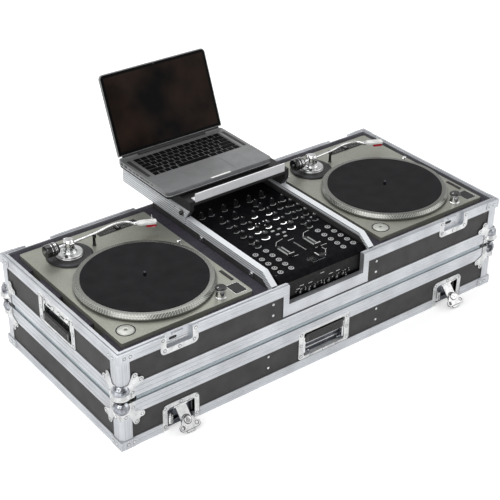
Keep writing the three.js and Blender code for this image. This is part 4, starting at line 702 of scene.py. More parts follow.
# ball corners, each outline laid across the three axes in turn
ballCorner = {
    'steel': 1.6, 'gap': 0.3, 'reach': 38, 'shoulder': 24, 'lobe': 7.5, 'lobeReach': 55.5,
    'lobeMiddle': 40.5, 'radius': 19, 'domeRadius': 20, 'domeLift': 12, 'inset': 10, 'bevel': 0.6,
}
cornerFaces = [identity, towardX, Matrix(((0, 1, 0, 0), (0, 0, 1, 0), (1, 0, 0, 0), (0, 0, 0, 1)))]
# the flared skirt of the dome, from its radius out and its middle down
flareSteps = [(-1.4, -3), (-0.2, -5.2), (1.2, -8), (3.2, -12), (3.8, -14.4), (2.8, -15),
              (1.2, -12.6), (-1.4, -8.4), (-4, -6), (-1.4, -3)]


def addCornerFitting(owner, sideX, sideY, level, up, cupped):
    b = ballCorner
    row, side = 'front' if sideY < 0 else 'rear', 'left' if sideX < 0 else 'right'
    name = f'{owner}_ball_corner_{row}_{side}'
    place = shift(sideX * case['halfWidth'], sideY * case['halfDepth'], level)
    piece = Piece('dressed_' + name, place @ Matrix.Diagonal((-sideX, -sideY, up, 1)))
    face, far, near, reach = -b['gap'] - b['steel'], b['lobeReach'], b['lobeMiddle'], b['reach']
    outline = [(face, face), (reach, face), (reach, b['shoulder'])]
    outline += arcPoints(far, near, b['lobe'], -54, 117, 10)
    outline += arcPoints(near, far, b['lobe'], -27, 144, 10)
    outline += [(b['shoulder'], reach), (face, reach)]
    for turning in cornerFaces:
        piece.sheet(zincSteel, [outline], face, -b['gap'], b['bevel'], turning)
        spots = [(far, near), (near, far), (reach - 5, 14), (14, reach - 5)]
        addRivets(owner, piece.place @ turning, [(x, y, face) for x, y in spots], (0, 0, -1))
        # ridge pressed into the plate round the ball
        arc = arcPoints(b['inset'], b['inset'], b['radius'] + 3, -22, 112, 20)
        piece.add(zincSteel, tube([(x, y, face) for x, y in arc], 1, 10), turning)
    centre = shift(b['inset'], b['inset'], b['inset'] + (b['domeLift'] if cupped else 0))
    if cupped:
        # the lower corner of the base is a dome over a flared socket for the ball of the lid
        dome = b['domeRadius']
        piece.turned(chrome, arcPoints(0, 0, dome, 90, -16, 22) + [(0, -6)], 48, 0, centre)
        # a black band under the flare: painted shadow between the flare and the ball
        piece.turned(blackMatt, [(0, -21.4), (dome - 1.5, -21.4), (dome - 0.5, -12), (0, -12)], 48,
                     0, centre)
        piece.turned(zincSteel, [(dome + out, down) for out, down in flareSteps], 56, 0.7, centre)
    else:
        ball = bmesh.new()
        bmesh.ops.create_uvsphere(ball, u_segments=40, v_segments=28, radius=b['radius'])
        piece.add(chrome, ball, centre)
    piece.finish(owner, 'fitting_steel', name)


for owner, level, up, cupped in (('lid', case['lidTop'], -1, False),
                                 ('base', case['baseBottom'], 1, True)):
    for sideX in (-1, 1):
        for sideY in (-1, 1):
            addCornerFitting(owner, sideX, sideY, level, up, cupped)
print('ball corners made')


# where the recessed fittings sit: x along the face, y into the case, z up
def frontMount(x, z):
    return shift(x, -case['plateY'], z)


def rearMount(x, z):
    return shift(x, case['plateY'], z) @ turn('Z', 180)


def sideMount(side, z):
    # turned over, so that the grip hangs below its pivots
    turning = Matrix(((0, -side, 0, 0), (-side, 0, 0, 0), (0, 0, -1, 0), (0, 0, 0, 1)))
    return shift(side * case['plateX'], 0, z) @ turning


def wireSpring(coreRadius, wire, turns, pitch, fixedLeg, freeLeg):
    # an open coil along x with a straight leg at each end
    steps = 18
    radius = coreRadius + wire / 2
    count = int(turns * steps)
    angles = [math.pi / 2 + 2 * math.pi * i / steps for i in range(count + 1)]
    points = [Vector((pitch * i / steps, math.cos(angle) * radius, math.sin(angle) * radius))
              for i, angle in enumerate(angles)]
    ahead = [Vector((0, -math.sin(angle), math.cos(angle))) for angle in angles]
    return tube([points[0] - ahead[0] * fixedLeg, *points, points[-1] + ahead[-1] * freeLeg],
                wire / 2, 8)


def flatRing(inner, outer, low, high):
    return [(inner, low), (outer, low), (outer, high), (inner, high), (inner, low)]


# butterfly latches
latch = {
    'width': 100, 'height': 71, 'corner': 15, 'mouthWidth': 74, 'mouthHeight': 59,
    'mouthCorner': 7, 'sheet': 1.6, 'recess': 14, 'shallow': 9.3, 'step': 14.3, 'edge': 0.6,
    'pinRadius': 1.6, 'hingeY': 3.2, 'hingeZ': 53, 'openAngle': 42, 'knuckle': 3.4,
    'knuckleHalf': 18, 'haspHalf': 14, 'haspSheet': 2, 'haspLength': 66, 'hookHalf': 10,
    'bossRadius': 11, 'bossRise': 2.5, 'bossDrop': 38, 'keySheet': 2, 'hubRadius': 9,
    'lobeRadius': 8, 'lobeSpread': 18.5, 'lobeDrop': 14, 'holeRadius': 3.8,
    'springTurns': 6.25, 'springPitch': 1.75,
}


def openPlate(p):
    # a plate with a mouth that is open along its lower edge, as an outline
    half, mouth, corner, inner = p['width'] / 2, p['mouthWidth'] / 2, p['corner'], p['mouthCorner']
    low, high, top = p['edge'], p['height'], p['mouthHeight']
    ring = [(-half, low)] + arcPoints(corner - half, high - corner, corner, 180, 90, 8)
    ring += arcPoints(half - corner, high - corner, corner, 90, 0, 8) + [(half, low), (mouth, low)]
    ring += arcPoints(mouth - inner, top - inner, inner, 0, 90, 5)
    return ring + arcPoints(inner - mouth, top - inner, inner, 90, 180, 5) + [(-mouth, low)]


def addLatchDish(piece):
    p = latch
    mouth, low, top = p['mouthWidth'] / 2, p['edge'], p['mouthHeight']
    piece.sheet(zincSteel, [openPlate(p)[::-1]], 0, p['sheet'], 0.5, towardFront)
    thick, shallow, recess, step = p['sheet'], p['shallow'], p['recess'], p['step']
    wall, bottom, deep = mouth + thick, shallow - thick, recess - thick
    # the side walls take the duller dish steel; the top, back and floors of the recess the darker
    # steel, as painted shade
    for i, (x0, y0, z0, x1, y1, z1) in enumerate((
            (-wall, 0, low, -mouth, shallow, top), (mouth, 0, low, wall, shallow, top),
            (-wall, 0, step, -mouth, recess, top), (mouth, 0, step, wall, recess, top),
            (-wall, 0, top, wall, recess, top + thick),
            (-wall, deep, step, wall, recess, top + thick),
            (-wall, bottom, low, wall, shallow, step + thick),
            (-wall, bottom, step, wall, recess, step + thick))):
        piece.block(dishSteel if i < 4 else shadowSteel, (x0, y0, z0), (x1, y1, z1))
    hinge = (p['hingeY'], p['hingeZ'])
    piece.add(brightSteel, tube([(-mouth - 1, *hinge), (mouth + 1, *hinge)], p['pinRadius'], 16))
    turns, pitch = p['springTurns'], p['springPitch']
    piece.add(springSteel, wireSpring(p['pinRadius'] + 0.5, 1.3, turns, pitch, 9.4, 9),
              shift(-p['knuckleHalf'] - 1.4 - turns * pitch, *hinge))
    # second spring upright in the side of the dish
    piece.add(brightSteel, wireSpring(5.2, 1.9, 8, 3, 9, 9),
              shift(9 - mouth, 2.6, 38) @ turn('Y', 90))
    addRivets('lid', piece.place, [(x, -thick, z) for x, z in (
        (-43.5, 62), (43.5, 62), (-43.5, 12), (43.5, 12), (0, 65))])


def haspMatrix(mount):
    return mount @ shift(0, latch['hingeY'], latch['hingeZ']) @ turn('X', -latch['openAngle'])


def addHasp(piece):
    p = latch
    half, knuckle, long, boss = p['haspSheet'] / 2, p['knuckle'], p['knuckleHalf'], p['bossRadius']
    bossPlace = shift(0, 0, -p['bossDrop']) @ towardFront
    barrel = turnedForm(flatRing(2.1, knuckle, -long, long), 20)
    piece.add(brightSteel, bevelSharp(barrel, 0.4), turn('Y', 90))
    width, tip, length = p['haspHalf'], p['hookHalf'], p['haspLength']
    outline = [(-width, -1.5), (-width, -length + 9), (-tip, -length + 4), (-tip, -length)]
    outline += [(-x, y) for x, y in outline[::-1]]
    piece.sheet(pressedSteel, [softened(outline, 2.5, 3, True)], -half, half, 0.4, towardFront)
    # a dark sheet a little wider behind the hasp: painted shade that outlines it
    shadeOutline = [(x * 1.07, y * 1.015) for x, y in outline]
    piece.sheet(shadowSteel, [softened(shadeOutline, 2.5, 3, True)], -0.6, 0.5, 0, towardFront)
    # pressed frame round the boss, and the lip that hooks under the catch
    frameLoops = [roundedBox(width * 2 - cut, tall, corner, y=9 - p['bossDrop'])
                  for cut, tall, corner in ((5, 34, 4), (8, 31, 3))]
    piece.sheet(pressedSteel, frameLoops, half - 0.2, half + 0.7, 0.3, towardFront)
    piece.block(pressedSteel, (-tip, 0, -length), (tip, half + 3, -length + 5), 0.8)
    # a thin black ring round the boss: painted shade at its foot
    piece.turned(blackMatt, flatRing(boss, boss + 2.4, half, half + 0.15), 40, 0, bossPlace)
    top, low = half + p['bossRise'], 0.2 - half
    piece.turned(pressedSteel, [(0, top), (boss, top), (boss + 1.2, low), (0, low)], 40, 0.8,
                 bossPlace)


def addKey(piece):
    p = latch
    start = p['haspSheet'] / 2 + p['bossRise'] + 0.3
    spread, drop, lobe, hub = p['lobeSpread'], p['lobeDrop'], p['lobeRadius'], p['hubRadius']
    right = [(spread - lobe * 0.6, -drop - lobe)] + arcPoints(spread, -drop, lobe, -90, 78, 10)
    right += [(hub * 1.25, hub * 0.55)] + arcPoints(0, 0, hub * 1.1, 35, 90, 5)
    outline = right + [(-x, y) for x, y in right[::-1]][1:]
    # a dark outline a little larger than the key: painted shade that outlines it
    dark = [(x * 1.05, y * 1.05) for x, y in outline]
    holes = [circlePoints(p['holeRadius'], 20, side * spread, -drop) for side in (-1, 1)]
    place = shift(0, 0, -p['bossDrop']) @ towardFront
    piece.sheet(pressedSteel, [outline] + holes, start, start + p['keySheet'], 0.45, place)
    piece.sheet(shadowSteel, [dark] + holes, start + 0.3, start + 1, 0, place)
    hole = p['holeRadius']
    # thin black rings round the hub and the holes: painted shade
    for x, y, radius in ((0, 0, hub), (-spread, -drop, hole), (spread, -drop, hole)):
        piece.turned(blackMatt, flatRing(radius, radius + 1.3, start + 1.9, start + 2.12), 30, 0,
                     place @ shift(x, y, 0))
    cap = softened([(0, start + 5.2), (hub - 1.2, start + 4.9), (hub, start + 3.4), (hub, start)],
                   0.9, 3)
    piece.turned(brightSteel, cap + [(0, start)], 36, 0, place)
    for x, y in ((-2.4, 1.6), (2.4, -1.6)):
        pip = [(0, start + 5.7), (1.0, start + 5.6), (1.1, start + 4.5)]
        piece.turned(shadowSteel, pip, 12, 0.3, place @ shift(x, y, 0), 2)


frontLatches = (('front_left', -422), ('front_right', 422))
rearLatches = (('rear_outer_left', -482), ('rear_inner_left', -170), ('rear_inner_right', 170),
               ('rear_outer_right', 482))
for name, x in frontLatches:
    mount = frontMount(x, 0)
    for part, build, place, body, slot in (
            ('dish', addLatchDish, mount, 'lid', 'fitting_steel'),
            ('hasp', addHasp, haspMatrix(mount), f'hasp_{name}', 'fitting_steel'),
            ('key', addKey, haspMatrix(mount), f'key_{name}', 'bright_chrome')):
        piece = Piece(f'dressed_latch_{part}_{name}', place)
        build(piece)
        piece.finish(body, slot, f'latch_{part}_{name}')
for name, x in rearLatches:
    piece = Piece(f'dressed_latch_{name}', haspMatrix(rearMount(x, 0)))
    addHasp(piece)
    addKey(piece)
    piece.finish(f'latch_{name}', 'fitting_steel', f'latch_{name}')
print('latches made')

# recessed catches in the rim of the base, a trim over the plates of the solids
catch = {
    'width': 100, 'height': 46, 'corner': 12, 'mouthWidth': 70, 'mouthHeight': 32,
    'mouthCorner': 5, 'edge': 0.7, 'sheet': 1.6, 'proud': 0.35,
}
piece = Piece('catch_trims')
mounts = [frontMount(x, case['baseTop']) for name, x in frontLatches]
mounts += [rearMount(x, case['baseTop']) for name, x in rearLatches]
for mount in mounts:
    place = mount @ towardFront
    start = catch['sheet'] - 0.1
    ring = [(x, -y) for x, y in openPlate(catch)]
    piece.sheet(zincSteel, [ring], start, start + catch['proud'], 0.15, place)
    # pressed slot and bead in the floor of the recess
    piece.sheet(blackMatt, [roundedBox(20, 7, 3.4, x=-12, y=-16)], -7.5, -7.2, 0, place)
    bead = roundedBox(catch['mouthWidth'] - 10, 4, 1.9, y=7 - catch['mouthHeight'])
    piece.sheet(zincSteel, [bead], -7.6, -6.6, 0.4, place)
    addRivets('base', mount, [(x, -2, z) for x, z in (
        (-43, -8), (43, -8), (-39, -36), (39, -36), (0, -39))])
piece.finish('base', 'fitting_steel')

# sprung handles
handle = {
    'width': 160, 'height': 80, 'corner': 8, 'mouthWidth': 128, 'mouthHeight': 66, 'sheet': 1.6,
    'recess': 12, 'ribs': 4, 'pivotZ': -24, 'pivotY': 3.9, 'pin': 2, 'armWidth': 5, 'armDepth': 8,
    'reach': 40, 'bar': 3, 'play': 0.9, 'gripHeight': 24, 'gripDepth': 13, 'gripLift': 2,
    'grooves': 5, 'bandHeight': 17, 'springTurns': 4.75, 'springPitch': 1.9, 'springWire': 1.3,
}


def addHandleDish(piece, body, springEnds, banded):
    h = handle
    mouth, tall, thick, deep = h['mouthWidth'] / 2, h['mouthHeight'] / 2, h['sheet'], h['recess']
    outer = roundedBox(h['width'], h['height'], h['corner'])
    inner = roundedBox(h['mouthWidth'], h['mouthHeight'], 5)
    piece.sheet(zincSteel, [outer, inner], 0, thick, 0.5, towardFront)
    wall, high = mouth + thick, tall + thick
    # the side, top and bottom walls take the duller dish steel, the back wall the darker steel, as
    # painted shade
    for i, (x0, y0, z0, x1, z1) in enumerate((
            (-wall, 0, -high, -mouth, high), (mouth, 0, -high, wall, high),
            (-wall, 0, tall, wall, high), (-wall, 0, -high, wall, -tall),
            (-wall, deep - thick, -tall, wall, tall))):
        piece.block(dishSteel if i < 4 else shadowSteel, (x0, y0, z0), (x1, deep, z1))
    arm = mouth - h['play'] - h['armWidth']
    for i in range(1, h['ribs'] + 1):
        level = -tall + h['mouthHeight'] * i / (h['ribs'] + 1)
        piece.block(zincSteel, (3 - arm, deep - thick - 1.4, level - 1.5),
                    (arm - 3, deep - 1, level + 1.5), 0.6)
    turns, pitch, pivot = h['springTurns'], h['springPitch'], (h['pivotY'], h['pivotZ'])
    springLength = turns * pitch
    for side in (-1, 1):
        ends = [(side * x, *pivot) for x in (arm - springLength - 4, mouth + 1)]
        piece.add(brightSteel, tube(ends, h['pin'], 16))
    for side in springEnds:
        piece.add(springSteel, wireSpring(h['pin'] + 0.5, h['springWire'], turns, pitch, 6.4, 9),
                  Matrix.Diagonal((side, 1, 1, 1)) @ shift(arm - 1 - springLength, *pivot))
    if banded:
        # the band that covers the springs, with notches for the arms
        low = -tall - thick / 2
        top, notch = low + h['bandHeight'], h['pivotZ'] - h['armDepth']
        near, far = arm - 0.6, mouth - h['play'] + 0.6
        ring = [(-mouth - 1, low), (mouth + 1, low), (mouth + 1, top), (far, top), (far, notch),
                (near, notch), (near, top), (-near, top), (-near, notch), (-far, notch),
                (-far, top), (-mouth - 1, top)]
        piece.sheet(zincSteel, [ring], 0, thick, 0.4, towardFront)
        middle = low + h['bandHeight'] / 2 + 1
        for x in (-30, 30):
            slot = roundedBox(16, 4.6, 2.2, x=x, y=middle)
            piece.sheet(blackMatt, [slot], thick, thick + 0.15, 0, towardFront)
        for x in (-50, -14, 14, 50):
            place = shift(x, -thick, middle) @ turn('X', 90)
            piece.turned(zincSteel, [(0, 0), (5.4, 0), (4.6, 1.4), (2.6, 1.8), (2.2, 0.6),
                                     (0, 0.6)], 28, 0.4, place)
            # a thin black ring round each boss: painted shade at its foot
            piece.turned(blackMatt, flatRing(5.2, 6.4, 0, 0.2), 28, 0, place)
    edge = h['width'] / 2 - 7.5
    spots = [(side * edge, z) for side in (-1, 1) for z in (-31, 0, 31)]
    if not banded:
        spots += [(x, -36.5) for x in (-40, 0, 40)]
    addRivets(body, piece.place, [(x, -thick, z) for x, z in spots])


def addBail(piece):
    h = handle
    outer, depth = h['mouthWidth'] / 2 - h['play'], h['armDepth']
    pivotY, pivotZ = h['pivotY'], h['pivotZ']
    middle, top = outer - h['armWidth'] / 2, pivotZ + h['reach']
    piece.add(brightSteel, tube([(-middle, pivotY, top), (middle, pivotY, top)], h['bar'], 20))
    outline = arcPoints(pivotY, pivotZ, depth / 2, 180, 360, 10)
    outline += arcPoints(pivotY, top, depth / 2, 0, 180, 10)
    hole = circlePoints(h['pin'] + 0.6, 16, pivotY, pivotZ)
    for start in (-outer, outer - h['armWidth']):
        piece.sheet(brightSteel, [outline, hole], start, start + h['armWidth'], 0.6, towardX)


def addGrip(piece):
    # moulded on the bar, with lengthwise ridges for the fingers and rounded ends
    h = handle
    half = h['mouthWidth'] / 2 - h['play'] - h['armWidth'] - 0.3
    middle, level = h['pivotY'] - h['gripLift'], h['pivotZ'] + h['reach']
    outline = roundedBox(h['gripDepth'], h['gripHeight'], 5, steps=5, x=middle, y=level)
    piece.sheet(gripRubber, [outline], -half, half, 1.6, towardX, 3)
    face = middle - h['gripDepth'] / 2
    for i in range(1, h['grooves'] + 1):
        z = level - h['gripHeight'] / 2 + h['gripHeight'] * i / (h['grooves'] + 1)
        piece.add(gripRubber, tube([(8 - half, face, z), (half - 8, face, z)], 1.0, 10))


for owner, suffix, mount, body, springEnds, banded in (
        ('lid_handle', '', frontMount(0, 65.5), 'lid', (-1, 1), False),
        ('side_handle', '_left', sideMount(-1, 206), 'base', (1,), True),
        ('side_handle', '_right', sideMount(1, 206), 'base', (1,), True)):
    for part, build, given, rider, slot in (
            ('dish', addHandleDish, (body, springEnds, banded), body, 'fitting_steel'),
            ('bail', addBail, (), owner + suffix, 'fitting_steel'),
            ('grip', addGrip, (), owner + suffix, 'grip_rubber')):
        piece = Piece(f'dressed_{owner}_{part}{suffix}', mount)
        build(piece, *given)
        piece.finish(rider, slot, f'{owner}_{part}{suffix}')
print('handles made')

# ribbed tongue of the edging that the tray sits over
jointStrip = {'inset': 4.2, 'end': 46, 'low': 122.4, 'ridges': 3, 'ridge': 3.9, 'sheet': 2.2}
low, rise = jointStrip['low'], jointStrip['ridge']
outline = [(0, low)]
for i in range(jointStrip['ridges']):
    z = low + i * rise
    outline += [(0, z + 0.5), (-0.9, z + 1.1), (-0.9, z + rise - 1.1), (0, z + rise - 0.5)]
top = low + jointStrip['ridges'] * rise
outline += [(0, top), (jointStrip['sheet'], top), (jointStrip['sheet'], low)]
piece = Piece('joint_strips')
for angle in (0, 90, 180, 270):
    long, away = case['halfWidth'], case['halfDepth']
    if angle % 180:
        long, away = away, long
    half = long - jointStrip['end']
    piece.sheet(jointAluminium, [outline], -half, half, 0,
                turn('Z', angle) @ shift(0, jointStrip['inset'] - away, 0) @ towardX)
piece.finish('lid', 'edging')

# rivets along the edging: x and heights on the front, and spots round each corner
edgeRivets = {'base': (160, 219, 189), 'lid': (171, 76, 44), 'cornerSpots': (17, 32)}
for body in ('base', 'lid'):
    x, *heights = edgeRivets[body]
    addRivets(body, identity, [(side * x, 2.5 - case['halfDepth'], z)
                               for side in (-1, 1) for z in heights])
for side in (-1, 1):
    for sideY in (-1, 1):
        for body, z in (('lid', 11.5), ('base', 244.5)):
            wide, deep = case['halfWidth'], case['halfDepth']
            addRivets(body, identity, [(side * (wide - x), sideY * (deep + 1.6), z)
                                       for x in edgeRivets['cornerSpots']], (0, sideY, 0))
            addRivets(body, identity, [(side * (wide + 1.6), sideY * (deep - y), z)
                                       for y in edgeRivets['cornerSpots']], (side, 0, 0))


def finishRivets():
    for body, found in rivets.items():
        places, facings = [list(part) for part in zip(*found)]
        # each head sits in a small dark ring: painted shade round it
        for label, finish, sizes in (
                ('rivets', zincSteel, None),
                ('rivet_shade_rings', shadowSteel, {'Radius': 0.0045, 'Dome': 0.00025})):
            made = grow(f'{label}_{body}', 'rivet', finish, places, {'facing': facings}, sizes)
            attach(made, body)


# turntables, drawn with their long side along x and the top of the plinth at z = 0
deck = {
    'x': 373.5, 'y': -2.7, 'top': 258.2, 'length': 453, 'depth': 353, 'corner': 5, 'plinth': 57,
    'skirtInset': 6, 'skirt': 30, 'footInset': 62, 'footBottom': -110.9, 'spindleX': -48,
    'split': 14, 'startPlace': (-196.1, -152.1), 'startLength': 38, 'startDepth': 30,
    'towerPlace': (-203, -102), 'lightPlace': (42, -158), 'speedPlace': (-139, -165),
    'adapterPlace': (-188, 142), 'pitchPlace': (197, -78), 'pitchLength': 112, 'pitchWidth': 24,
    'pivot': (152, 82), 'armTube': 2.8, 'armLevel': 32, 'headTurn': -24.7,
}
platter = {
    'radius': 166, 'topRadius': 160, 'height': 15, 'skirt': 7, 'well': 150, 'wellTop': 13.2,
    'hub': 24, 'dots': 150, 'matRadius': 149, 'matLow': 13.6, 'matTop': 16, 'matHole': 3.9,
}
armLine = [(0, 0), (6.3, -72), (16, -128), (8.1, -166), (-12.1, -177)]


def onDeck(key):
    return shift(*deck[key], 0)


def addPlinth(piece):
    d = deck
    long, wide, plinth, split = d['length'], d['depth'], d['plinth'], d['split']
    startX, startY = d['startPlace']
    rim, gap, hole = [roundedBox(d['startLength'] + more, d['startDepth'] + more, corner, x=startX,
                                 y=startY) for more, corner in ((4, 3.5), (1.4, 2.5), (1.2, 2.5))]
    outline = roundedBox(long, wide, d['corner'])
    piece.sheet(deckEnamel, [outline, hole], -split, 0, 1.3, steps=3)
    piece.sheet(deckEnamel, [outline], -plinth, -split, 1)
    inset, low = d['skirtInset'], d['footBottom']
    lower = roundedBox(long - 2 * inset, wide - 2 * inset, d['corner'])
    piece.sheet(blackMatt, [lower], -plinth - d['skirt'], 1 - plinth, 1)
    for sideX in (-1, 1):
        for sideY in (-1, 1):
            piece.turned(blackMatt, [(0, low), (26, low), (32, -98), (32, -80), (0, -80)], 32, 3,
                         shift(sideX * (long / 2 - d['footInset']),
                               sideY * (wide / 2 - d['footInset']), 0))
    # black disc under the rim of the platter, painted shade, and the ring that the start button
    # sits in
    radius = platter['radius']
    piece.turned(blackMatt, [(0, 0.1), (radius - 6, 0.1), (radius - 7, 1.2), (0, 1.2)], 72, 0.3,
                 shift(d['spindleX'], 0, -0.4))
    piece.sheet(brightSteel, [rim, gap], -0.1, 0.5, 0.2)


def addTower(piece):
    place = onDeck('towerPlace')
    piece.turned(brightSteel, [(0, -0.2), (14.2, -0.2), (14, 1.6), (12, 2.4), (11.4, 18),
                               (12.4, 20.4), (13.5, 21), (13.5, 22), (0, 22)], 40, 0.8, place)
    piece.turned(blackGloss, [(0, 21.9), (13.3, 21.9), (13.2, 25), (11.5, 27), (0, 27)], 40, 1.2,
                 place, 4)
    piece.block(whitePrint, (-1, 5.5, 26.9), (1, 10.5, 27.2), 0.1, place)
    piece.block(cartridgeRed, (8.5, -4, 7), (12.2, 4, 15), 1.2, place)
    for i in range(24):
        piece.add(blackGloss, roundBlock((12.2, -0.45, 21.2), (13.8, 0.45, 25), 0.2, 1),
                  place @ turn('Z', i * 15))


def addArmBase(piece):
    place = onDeck('pivot')
    for finish, profile, sides, rounding in (
            (blackMatt, [(0, -0.2), (57, -0.2), (56.6, 3), (54.5, 4.4), (0, 4.4)], 72, 0.9),
            (shadowSteel, [(51, 4.3), (50.6, 4.9), (49.4, 4.9), (49, 4.3), (51, 4.3)], 72, 0.3),
            (zincSteel, [(0, 4), (33, 4), (33, 7), (32, 8), (32, 11.6), (30.6, 13), (0, 13)], 72,
             0.7)):
        piece.turned(finish, profile, sides, rounding, place)
    for i in range(60):
        piece.add(zincSteel, roundBlock((31.4, -0.5, 8.4), (32.7, 0.5, 11.4), 0.2, 1),
                  place @ turn('Z', i * 6))
    for i in range(13):
        piece.block(blackMatt, (26, -0.3, 12.9), (29.6 if i % 3 == 0 else 28, 0.3, 13.1), 0,
                    place @ turn('Z', 120 + i * 8))
    piece.turned(brightSteel, [(0, 12.8), (19, 12.8), (17.5, 16), (15, 17), (15, 22), (0, 22)],
                 40, 1, place)
    for x, y, radius, height in ((24, 17, 6, 18), (-21, 20, 4.6, 16.5), (24, -15, 3.4, 17)):
        piece.turned(blackGloss, [(0, 12.7), (radius, 12.7), (radius * 0.92, height), (0, height)],
                     24, 0.8, place @ shift(x, y, 0))
    rest = place @ shift(*armLine[1], 0)
    piece.turned(blackGloss, [(0, -0.2), (5.5, -0.2), (4, 3), (3.4, 24), (0, 24)], 20, 1, rest)
    piece.block(blackGloss, (-7, -2.6, 23), (7, 2.6, 27.2), 0.8, rest)
    for side in (-1, 1):
        piece.block(blackGloss, (side * 5.6 - 1, -2.4, 26), (side * 5.6 + 1, 2.4, 33), 0.6, rest)


def addDeckControls(piece):
    d = deck
    speed, light, adapter, pitch = (onDeck(key + 'Place') for key in ('speed', 'light', 'adapter',
                                                                      'pitch'))
    for low in (-24.3, 0.3):
        piece.block(blackMatt, (low, -4, -0.4), (low + 24, 4, 1.6), 0.6, speed)
        piece.turned(cartridgeRed, [(0, 1.5), (0.9, 1.5), (0.6, 1.9), (0, 2)], 12, 0,
                     speed @ shift(low + 20.5, 0, 0))
    piece.turned(brightSteel, [(0, -0.3), (7.2, -0.3), (6.8, 1), (5, 1.4), (4.7, 11.8), (3.6, 13),
                               (0, 13)], 28, 0.6, light)
    piece.block(ringLight, (-2.2, 3.2, 7), (2.2, 5.2, 11), 0.8, light)
    piece.turned(adapterZinc, [(3.7, 1), (3.7, 2.6), (8, 3), (16, 1.9), (19, 0.9), (19.4, -0.3),
                               (3.7, -0.3), (3.7, 1)], 48, 0.6, adapter, 2)
    piece.turned(blackGloss, [(19.6, -0.2), (22.6, -0.2), (22.4, 0.5), (19.8, 0.5), (19.6, -0.2)],
                 48, 0.2, adapter)
    (x, y), long, wide = d['pitchPlace'], d['pitchLength'], d['pitchWidth']
    plate = [roundedBox(wide, long, 2, x=x, y=y), roundedBox(3.2, long - 22, 1.5, x=x, y=y)]
    piece.sheet(blackMatt, plate, -0.3, 1.2, 0.3)
    for i in range(17):
        tall = 2.4 if i % 4 == 0 else 1.5
        for edge in (-1, 1):
            start, y = edge * 5.2, i * 5 - 40
            piece.block(whitePrint, (start, y - 0.2, 1.15), (start + edge * tall, y + 0.2, 1.3), 0,
                        pitch)
    outline = [(-7, 1.4), (7, 1.4), (5.5, 6.4), (1.2, 5.6), (-1.2, 5.6), (-5.5, 6.4)]
    piece.sheet(blackGloss, [softened(outline, 0.8, 3, True)], -9, 9, 0.6, pitch @ towardX)
    piece.block(whitePrint, (-9, -0.3, 5.6), (9, 0.3, 5.9), 0, pitch)


def addPlatter(piece, spun):
    p = platter
    radius, top, low, high, well = p['radius'], p['topRadius'], p['skirt'], p['height'], p['well']
    piece.turned(spun, [
        (0, 0.3), (p['hub'], 0.3), (p['hub'], 2), (radius - 1, 2), (radius, 3), (radius, low - 0.6),
        (radius - 0.4, low), (top + 0.7, high - 0.5), (top - 0.4, high), (well, high),
        (well, p['wellTop']), (0, p['wellTop'])], 144)
    piece.turned(shadowSteel, [(0, 13), (7, 13), (6.6, 14.6), (3.6, 15.2), (3.6, 25), (2.6, 26.6),
                               (0, 27)], 24, 0.5)
    fall, rise = radius - top, high - low
    for level, more, tall in ((0.14, 0, 1.5), (0.42, 6, 1.2), (0.66, -6, 1.2), (0.88, 0, 0.9)):
        sizes = {'Radius': radius - fall * level, 'Level': low + rise * level, 'Dot': 3.4,
                 'Tall': tall, 'Proud': 0.5}
        sizes = {key: value * millimetre for key, value in sizes.items()}
        piece.grow(adapterZinc, 'strobe', [(0, 0, 0)], None,
                   {'Count': p['dots'] + more, 'Lean': fall / rise, **sizes},
                   shift(0, caseToRow.translation.y / millimetre, 0))


def addMat(piece):
    p = platter
    radius, low, top, hole = p['matRadius'], p['matLow'], p['matTop'], p['matHole']
    piece.turned(felt, [(hole, low), (radius, low), (radius, top), (radius - 1, top + 0.1),
                        (hole, top), (hole, low)], 120, 0.5, steps=2)


